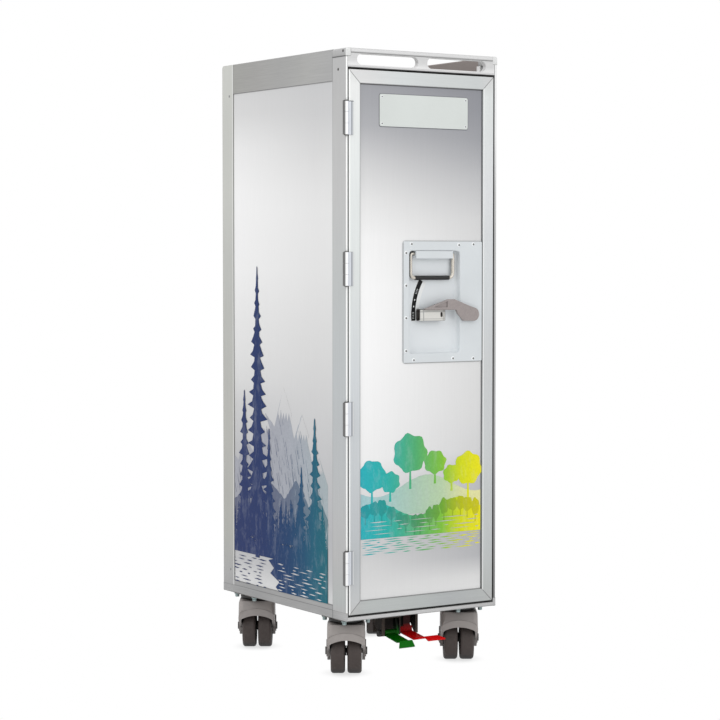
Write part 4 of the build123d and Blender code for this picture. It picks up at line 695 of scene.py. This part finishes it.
def seen_rays(tree):
    """1 for the rays that show the backdrop itself, 0 for those that only light the cart."""
    rays = node(tree, "ShaderNodeLightPath")
    first = node(tree, "ShaderNodeMath", operation="MAXIMUM")
    tree.links.new(rays.outputs["Is Camera Ray"], first.inputs[0])
    tree.links.new(rays.outputs["Is Glossy Ray"], first.inputs[1])
    both = node(tree, "ShaderNodeMath", operation="MAXIMUM")
    tree.links.new(first.outputs[0], both.inputs[0])
    tree.links.new(rays.outputs["Is Transmission Ray"], both.inputs[1])
    return both.outputs[0]


def add_floor():
    """White to the eye, with a soft shadow round what stands on it."""
    bpy.ops.mesh.primitive_plane_add(size=FLOOR_WIDTH, location=(0, 0, 0))
    floor = bpy.context.object
    floor.name = "studio_floor"
    mat, tree, shader = material("studio_white")
    shader.inputs["Base Color"].default_value = FLOOR_TONE
    shader.inputs["Roughness"].default_value = 1.0
    near = node(tree, "ShaderNodeAmbientOcclusion", samples=16)
    near.inputs["Distance"].default_value = SHADOW_REACH * MM
    white = node(tree, "ShaderNodeEmission")
    white.inputs["Color"].default_value = WHITE
    tree.links.new(spread(tree, near.outputs["AO"], 0.1, 0.75, SHADOW_LEVEL, 1.0), white.inputs["Strength"])
    blend = node(tree, "ShaderNodeMixShader")
    tree.links.new(seen_rays(tree), blend.inputs[0])
    tree.links.new(shader.outputs[0], blend.inputs[1])
    tree.links.new(white.outputs[0], blend.inputs[2])
    tree.links.new(blend.outputs[0], tree.nodes["Material Output"].inputs["Surface"])
    floor.data.materials.append(mat)


def add_sky():
    world = bpy.data.worlds.new("studio")
    bpy.context.scene.world = world
    world.use_nodes = True
    tree = world.node_tree
    back = tree.nodes["Background"]
    back.inputs["Color"].default_value = WHITE
    tree.links.new(spread(tree, seen_rays(tree), 0.0, 1.0, SKY_LEVEL, 1.0), back.inputs["Strength"])


def add_lamp(name, spot, aim, size, power):
    light = bpy.data.lights.new(name, "AREA")
    light.shape = "RECTANGLE"
    light.size, light.size_y = size
    light.energy = power
    lamp = bpy.data.objects.new(name, light)
    lamp.location = spot
    lamp.rotation_euler = (Vector(aim) - Vector(spot)).to_track_quat("-Z", "Y").to_euler()
    bpy.context.collection.objects.link(lamp)


add_floor()
add_sky()
for lamp in LAMPS:
    add_lamp(*lamp)

# ------------------------------------------------------------------ small fasteners
# Profiles of turned heads: (radius, height), in millimetres.
PAN_HEAD = [(0.2, 0.0), (2.6, 0.0), (2.6, 0.25), (2.2, 0.7), (1.4, 1.0), (0.5, 1.1), (0.0, 1.1)]
RIVET = [(0.2, 0.0), (2.0, 0.0), (1.9, 0.4), (1.3, 0.8), (0.5, 1.0), (0.0, 1.0)]
FLUSH = [(0.2, 0.0), (2.3, 0.0), (2.2, 0.12), (0.0, 0.16)]
HIGHLIGHT_RING = [(0.2, 0.0), (3.3, 0.0), (3.2, 0.06), (0.0, 0.08)]
FORWARD = (0, -1, 0)
LEFTWARD = (-1, 0, 0)
DOWNWARD = (0, 0, -1)
PAN_COLUMN = PAN_LOW[0] + 5.9
PAN_SCREWS = [(PAN_COLUMN, z) for z in (700.3, 646.6, 593.1, 539.0)]
PAN_SCREWS += [(-23.0, 715.0), (73.1, 713.8), (102.8, 715.0), (-18.4, 523.4), (61.1, 524.4), (102.9, 523.4)]
POST_RIVETS = [(POST_LOW[0], 177.1, 975.4), (POST_LOW[0], 177.1, 140.0)]
CAP_SCREWS = [(CAP_LOW[0], -193.6, 1025.1), (POST_LOW[0], -178.3, 996.4)]


def grown(profile, wide, high):
    return [(r * wide, h * high) for r, h in profile]


def pan_spots(drop, x_shift, z_shift):
    """Places of the pan's screws, sunk by drop into its face and shifted along X and Z."""
    return [(x + x_shift, PAN_FACE + drop, z + z_shift) for x, z in PAN_SCREWS]


def fasteners():
    # Painted light: a bright disc round each pan screw, left clear at the upper left, is a painted
    # highlight, and a dark disc set to the lower right on the head is painted shade.
    lathe("pan_screw_highlights", HIGHLIGHT_RING, pan_spots(0.02, 0, 0), FORWARD, bright_mat, "door")
    lathe("pan_screws", grown(PAN_HEAD, 0.72, 0.42), pan_spots(-0.04, 0.5, -0.3), FORWARD, screw_mat,
          "door")
    lathe("pan_screw_shades", grown(FLUSH, 0.42, 0.5), pan_spots(-0.48, 0.8, -0.6), FORWARD, dark_screw_mat,
          "door")
    lathe("post_rivets", FLUSH, POST_RIVETS, LEFTWARD, screw_mat, "cabinet")
    lathe("cap_screws", grown(PAN_HEAD, 0.9, 0.4), CAP_SCREWS, LEFTWARD, dark_screw_mat, "cabinet")


fasteners()

# ------------------------------------------------------------------ the bare plate
plate_mat = paint("plate_enamel", rgb(214, 219, 216), 0.4, 0.1)
shade_mat = paint("plate_shade", rgb(96, 98, 104), 0.6, 0.0)
# Low x, low z, high x and high z.
PLATE = (-85.6, 906.0, 91.4, 958.6)
PLATE_CORNER = 3.4
RIVET_INSET = 4.6


def bare_plate():
    low_x, low_z, high_x, high_z = PLATE
    # Painted shadow: a dark sheet a little larger than the plate, widest below it, stands for the shadow
    # round its edges.
    shadow_rim = rounded(low_x - 0.9, low_z - 1.1, high_x + 0.9, high_z + 0.7, PLATE_CORNER + 0.9)
    plate = rounded(*PLATE, PLATE_CORNER)
    sheet_plate("door_plate_shadow", shadow_rim, PANEL_FACE - 0.02, 0.2, shade_mat, "door")
    sheet_plate("door_plate", plate, PANEL_FACE - 0.15, 0.6, plate_mat, "door")
    rivets = [(x, PANEL_FACE - 0.72, z) for x in (low_x + RIVET_INSET, high_x - RIVET_INSET)
              for z in (low_z + RIVET_INSET, high_z - RIVET_INSET)]
    lathe("door_plate_rivets", grown(RIVET, 1.15, 0.5), rivets, FORWARD, bright_mat, "door")
    lathe("door_plate_rivet_pins", grown(FLUSH, 0.5, 0.6), [(x, y - 0.5, z) for x, y, z in rivets],
          FORWARD, dark_screw_mat, "door")


bare_plate()

# ------------------------------------------------------------------ the indicator strip
line_mat = paint("line_black", rgb(14, 14, 16), 0.55, 0.0, gloss=0.2)
white_mat = paint("line_white", rgb(236, 238, 238), 0.45, 0.0)
STRIP_RADIUS = 110.9
STRIP_WIDTH = 8.0
TICK_LENGTH = 3.4
# Angles in degrees above the -X direction. An arrow is (angle of its back, turn from there to its point).
TICKS = (-3.2, -1.9, -0.6, 0.7, 2.0, 18.4, 19.7, 21.0, 22.3)
ARROWS = ((6.6, 1.5), (13.4, -1.5))


def on_pan(height):
    """Pan's floor: u runs along X, v up; height is millimetres in front of it."""
    def place(u, v, lift):
        return Vector((u, PAN_FLOOR - height - lift, v)) * MM
    return place


def on_arc(radius, angle):
    """A point round the lever's pivot, at an angle in degrees above the -X direction."""
    turn = math.radians(angle)
    return LEVER_PIVOT[0] - radius * math.cos(turn), LEVER_PIVOT[2] + radius * math.sin(turn)


def arc_band(radius, width, start, end, steps=28):
    """Quads of an arc band round the lever's pivot."""
    inner, outer = radius - width / 2, radius + width / 2
    stops = [start + (end - start) * i / steps for i in range(steps + 1)]
    return [[on_arc(inner, a), on_arc(outer, a), on_arc(outer, b), on_arc(inner, b)]
            for a, b in zip(stops, stops[1:])]


def indicator_strip():
    white = arc_band(STRIP_RADIUS - 2.7, 16.4, -5.4, 31.6)
    black = arc_band(STRIP_RADIUS, STRIP_WIDTH, -5.0, 31.0)
    flat_shape("indicator_white", white, on_pan(0.12), white_mat, "door")
    flat_shape("indicator_black", black, on_pan(0.2), line_mat, "door")
    marks = []
    for angle in TICKS:
        marks += arc_band(STRIP_RADIUS, TICK_LENGTH, angle, angle + 0.28, 1)
    for angle, point in ARROWS:
        marks.append([on_arc(STRIP_RADIUS - 1.6, angle), on_arc(STRIP_RADIUS + 1.6, angle),
                      on_arc(STRIP_RADIUS, angle + point)])
    flat_shape("indicator_marks", marks, on_pan(0.28), white_mat, "door")


indicator_strip()

# ------------------------------------------------------------------ bolts of the caster plates
BOLT_HEAD = [(0.2, 0.0), (5.2, 0.0), (5.2, 1.6), (4.6, 2.2), (3.9, 2.4), (3.9, 6.2), (3.2, 6.8), (0.0, 6.8)]
# Width, length and thickness of a caster's plate, and how far a bolt stands from its edges.
CASTER_PLATE = (56, 71, 3)
BOLT_INSET = (5.0, 5.5)


def caster_bolts():
    far_x, far_y = CASTER_PLATE_HIGH[0] - BOLT_INSET[0], CASTER_PLATE_HIGH[1] - BOLT_INSET[1]
    near_x = CASTER_PLATE_HIGH[0] - CASTER_PLATE[0] + BOLT_INSET[0]
    near_y = CASTER_PLATE_HIGH[1] - CASTER_PLATE[1] + BOLT_INSET[1]
    underside = CASTER_PLATE_HIGH[2] - CASTER_PLATE[2]
    for way_x, side in ((-1, "left"), (1, "right")):
        for way_y, end in ((-1, "front"), (1, "rear")):
            bolts = [(way_x * x, way_y * y, underside) for x in (far_x, near_x) for y in (far_y, near_y)]
            name = f"caster_bolts_{end}_{side}"
            lathe(name, BOLT_HEAD, bolts, DOWNWARD, nut_mat, "cabinet", steps=6)


caster_bolts()

# ------------------------------------------------------------------ printed decoration
PRINT_FRONT, PRINT_REAR = -145, 171
DOOR_START, DOOR_END = -122, 120
NAVY_TO_TEAL = tones([(PRINT_FRONT, (4, 100, 114)), (-105, (2, 92, 116)), (-70, (0, 74, 110)),
                      (-20, (2, 56, 102)), (60, (12, 42, 96)), (PRINT_REAR, (22, 42, 96))], 0)
CYAN_TO_YELLOW = tones([(DOOR_START, (41, 179, 190)), (-70, (44, 178, 170)), (-10, (84, 176, 110)),
                        (40, (130, 196, 60)), (80, (214, 222, 20)), (DOOR_END, (240, 232, 20))], 0)

# Height of each printed layer in front of the film, in millimetres.
SIDE_LAYERS = {"far": 0.10, "snow": 0.14, "hatch": 0.18, "near": 0.32, "slopes": 0.34, "firs": 0.42,
               "shore": 0.66, "ripples": 0.66, "lake": 0.72, "glints": 0.78}
DOOR_LAYERS = {"back": 0.10, "rows": 0.10, "trees": 0.14, "hill": 0.24, "shrubs": 0.28, "furrows": 0.42}

FAR_RIDGE = [(PRINT_FRONT, 318), (-118, 362), (-98, 344), (-64, 430), (-38, 388), (-4, 474), (26, 404),
             (56, 424), (92, 350), (126, 378), (150, 338), (PRINT_REAR, 346)]
NEAR_RIDGE = [(PRINT_FRONT, 262), (-120, 292), (-92, 270), (-44, 318), (-8, 282), (34, 306), (84, 268),
              (128, 288), (PRINT_REAR, 262)]
# A cap is (u, v, drop, left, right), a fir (u, v, height, width, tiers) and a tree (u, height, width).
SNOW_CAPS = [(-64, 430, 34, 0.62, 0.50), (-4, 474, 46, 0.58, 0.40), (56, 424, 26, 0.60, 0.55),
             (126, 378, 24, 0.60, 0.62), (-118, 362, 22, 0.50, 0.60)]
SMALL_FIRS = 44
TALL_FIRS = [(-104, 176, 250, 76, 12), (-62, 182, 160, 56, 9), (44, 184, 216, 66, 11),
             (128, 176, 286, 82, 14), (84, 172, 506, 112, 21)]
SHORE = [(PRINT_FRONT, 214), (-110, 204), (-70, 210), (-20, 202), (30, 208), (80, 200), (130, 206),
         (PRINT_REAR, 212)]
LAKE = [(PRINT_FRONT, 178), (20, 178), (46, 172), (28, 160), (40, 150), (10, 138), (22, 128), (2, 118),
        (PRINT_FRONT, 118)]
# A crest is (middle height, swell, length of a wave, shift).
BACK_CREST = (316, 16, 200, 40)
NEAR_CREST = (278, 13, 165, -30)
ORCHARD = [(-100, 78, 52), (-64, 52, 38), (-24, 96, 66), (26, 58, 44), (60, 46, 34), (94, 82, 56)]
SHRUBS = 15
TRUNK_SHARE = 0.08
SNOW_TEETH = 5
CROWN_POINTS = 44


def pale(stops, keep, add):
    return [(place, tuple(keep * c + add for c in colour)) for place, colour in stops]


side_ink = ink("side_ink", NAVY_TO_TEAL, "Y")
side_mid_ink = ink("side_mid_ink", pale(NAVY_TO_TEAL, 0.8, 0.12), "Y")
side_light_ink = ink("side_light_ink", pale(NAVY_TO_TEAL, 0.5, 0.38), "Y")
door_ink = ink("door_ink", CYAN_TO_YELLOW, "X")
door_light_ink = ink("door_light_ink", pale(CYAN_TO_YELLOW, 0.5, 0.38), "X")
door_deep_ink = ink("door_deep_ink", pale(CYAN_TO_YELLOW, 0.72, 0.0), "X")


def side_layer(layer, outlines, mat, stagger=0.0):
    """Prints outlines on the left panel: u runs along Y, v up."""
    def place(u, v, lift):
        return Vector((SKIN_LOW[0] - SIDE_LAYERS[layer] - lift, u, v)) * MM
    flat_shape(f"side_print_{layer}", outlines, place, mat, "cabinet", stagger)


def door_layer(layer, outlines, mat, stagger=0.0):
    """Prints outlines on the door panel: u runs along X, v up."""
    def place(u, v, lift):
        return Vector((u, PANEL_FACE - DOOR_LAYERS[layer] - lift, v)) * MM
    flat_shape(f"door_print_{layer}", outlines, place, mat, "door", stagger)


def fir_side(u, v, height, width, tiers, way):
    """Ragged points up one side of a fir, from its foot. way is -1 on the left and 1 on the right."""
    trunk = 0.012 * height + 0.6
    foot = v + TRUNK_SHARE * height
    step = (height - TRUNK_SHARE * height) / tiers
    chain = [(u + way * trunk, v), (u + way * trunk, foot)]
    for i in range(tiers):
        reach = 0.5 * width * (1 - i / tiers) ** 0.85 * random.uniform(0.62, 1.06)
        low = foot + i * step
        chain.append((u + way * reach, low + random.uniform(0.0, 0.12) * step))
        notch = reach * random.uniform(0.42, 0.66)
        chain.append((u + way * notch, low + random.uniform(0.3, 0.56) * step))
        chain.append((u + way * reach * 0.40, low + 0.86 * step))
    return chain


def fir(u, v, height, width, tiers):
    """Outline of a fir tree whose foot stands at (u, v)."""
    left = fir_side(u, v, height, width, tiers, -1)
    right = fir_side(u, v, height, width, tiers, 1)
    return right + [(u, v + height)] + left[::-1]


def ridge(points, foot, rough):
    """Outline of a ragged ridge through (u, v) points over a level foot."""
    line = []
    for (ua, va), (ub, vb) in zip(points, points[1:]):
        steps = max(2, int(abs(ub - ua) / 4))
        for i in range(steps):
            share = i / steps
            line.append((ua + (ub - ua) * share, va + (vb - va) * share + random.uniform(-rough, rough)))
    line.append(points[-1])
    return [(points[0][0], foot)] + line + [(points[-1][0], foot)]


def height_of(points):
    """A function that gives the height of the line through points."""
    def at(u):
        for (ua, va), (ub, vb) in zip(points, points[1:]):
            if ua <= u <= ub:
                return va + (vb - va) * (u - ua) / (ub - ua)
        return 0
    return at


def snow(u, v, drop, left, right):
    """Outline of a snow cap under the peak at (u, v), with a toothed lower edge."""
    low = []
    for i in range(1, 2 * SNOW_TEETH):
        share = i / (2 * SNOW_TEETH)
        sag = 0.35 if i % 2 else -0.05
        depth = drop + sag * drop * random.uniform(0.6, 1.1)
        low.append((u - left * drop + (left + right) * drop * share, v - depth))
    return [(u, v - 1), (u - left * drop, v - drop)] + low + [(u + right * drop, v - drop)]


def streaks(u0, u1, low, high, count, lean, top):
    """Short hatched strokes that start between u0 and u1 and between low and high, count of them apart from
    those that would rise over top(u)."""
    made = []
    for _ in range(count):
        u = random.uniform(u0, u1)
        v = random.uniform(low, high)
        length = random.uniform(6, 26)
        if v + length > top(u):
            continue
        wide = random.uniform(0.5, 1.5)
        tip = u + lean * length
        made.append([(u, v), (u + wide, v), (tip + wide * 0.6, v + length), (tip, v + length)])
    return made


def ripples(u0, u1, low, high, rows, longest, thickest, gap):
    """Broken level strokes of water or furrows."""
    made = []
    for row in range(rows):
        v = low + (high - low) * (row + 0.5) / rows
        u = u0 + random.uniform(0, gap)
        while u < u1 - 6:
            length = min(random.uniform(7, longest), u1 - u)
            thick = random.uniform(0.5, 1.0) * thickest
            made.append([(u, v), (u + length * 0.4, v - thick * 0.5), (u + length, v),
                         (u + length * 0.6, v + thick * 0.5)])
            u += length + random.uniform(3, gap)
    return made


def blob(u, v, width, height, lobes, wobble):
    """Outline of a lumpy crown about (u, v)."""
    phase = random.uniform(0, 6.28)
    points = []
    for i in range(CROWN_POINTS):
        angle = 2 * math.pi * i / CROWN_POINTS
        reach = 1 + wobble * math.sin(lobes * angle + phase) + random.uniform(-0.02, 0.02)
        across, up = 0.5 * width * reach * math.cos(angle), 0.5 * height * reach * math.sin(angle)
        points.append((u + across, v + up))
    return points


def stem(u, v, top, width):
    """Outline of a tapered stem. width is half of its foot."""
    return [(u - width, v), (u + width, v), (u + width * 0.45, top), (u - width * 0.45, top)]


def wave(u, crest):
    """Height of a rolling crest at u."""
    mid, swell, length, shift = crest
    return mid + swell * math.sin(2 * math.pi * (u + shift) / length)


def hill(crest, foot):
    """Outline of the ground under a rolling crest, over a level foot."""
    top = [(u, wave(u, crest) + random.uniform(-0.5, 0.5)) for u in range(DOOR_START, DOOR_END, 3)]
    top.append((DOOR_END, wave(DOOR_END, crest)))
    return [(DOOR_START, foot)] + top + [(DOOR_END, foot)]


def mountains():
    far_top = height_of(FAR_RIDGE)
    near_top = height_of(NEAR_RIDGE)
    side_layer("far", [ridge(FAR_RIDGE, foot=236, rough=1.6)], side_light_ink)
    side_layer("snow", [snow(*cap) for cap in SNOW_CAPS], side_mat)
    hatch = streaks(PRINT_FRONT + 4, PRINT_REAR - 12, low=262, high=440, count=240, lean=0.32,
                    top=lambda u: far_top(u) - 12)
    side_layer("hatch", hatch, side_mid_ink, 0.002)
    side_layer("near", [ridge(NEAR_RIDGE, foot=206, rough=1.8)], side_mid_ink)
    slopes = streaks(PRINT_FRONT + 4, PRINT_REAR - 8, low=216, high=300, count=130, lean=-0.3,
                     top=lambda u: near_top(u) - 6)
    side_layer("slopes", slopes, side_light_ink, 0.001)


def forest():
    firs = []
    for index in range(SMALL_FIRS):
        share = (index + random.uniform(0.1, 0.9)) / SMALL_FIRS
        u = PRINT_FRONT + 6 + (PRINT_REAR - PRINT_FRONT - 14) * share
        height = random.uniform(44, 92)
        firs.append(fir(u, random.uniform(186, 206), height, height * 0.40, 7))
    firs += [fir(*tall) for tall in TALL_FIRS]
    side_layer("firs", firs, side_ink, 0.004)


def lake():
    side_layer("shore", [ridge(SHORE, foot=176, rough=2.2)], side_ink)
    side_layer("lake", [LAKE], side_ink)
    glints = ripples(PRINT_FRONT + 3, 16, low=122, high=172, rows=9, longest=40, thickest=2.6, gap=34)
    side_layer("glints", glints, side_mat, 0.001)
    open_water = ripples(50, PRINT_REAR, low=120, high=172, rows=9, longest=34, thickest=2.4, gap=22)
    side_layer("ripples", open_water, side_ink, 0.001)


def orchard():
    door_layer("back", [hill(BACK_CREST, foot=268)], door_light_ink)
    trees = []
    for u, height, width in ORCHARD:
        foot = wave(u, BACK_CREST) - 14
        trees.append(stem(u, foot, foot + height * 0.5, 2.4))
        trees.append(blob(u, foot + height * 0.62, width, height * 0.66, lobes=7, wobble=0.07))
    door_layer("trees", trees, door_ink, 0.004)


def field():
    door_layer("hill", [hill(NEAR_CREST, foot=232)], door_ink)
    shrubs = []
    for index in range(SHRUBS):
        u = DOOR_START + 10 + 15.8 * index + random.uniform(-3, 3)
        foot = wave(u, NEAR_CREST) - 24
        height = random.uniform(22, 36)
        shrubs.append(stem(u, foot - 8, foot + height * 0.4, 1.4))
        width = random.uniform(15, 22)
        shrubs.append(blob(u, foot + height * 0.5, width, height * 0.8, lobes=5, wobble=0.08))
    door_layer("shrubs", shrubs, door_deep_ink, 0.003)
    furrows = ripples(DOOR_START + 4, DOOR_END - 4, low=236, high=262, rows=4, longest=60, thickest=1.8,
                      gap=26)
    door_layer("furrows", furrows, door_mat, 0.001)
    rows = ripples(DOOR_START, DOOR_END, low=205, high=231, rows=7, longest=44, thickest=2.6, gap=12)
    door_layer("rows", rows, door_ink, 0.001)


mountains()
forest()
lake()
orchard()
field()
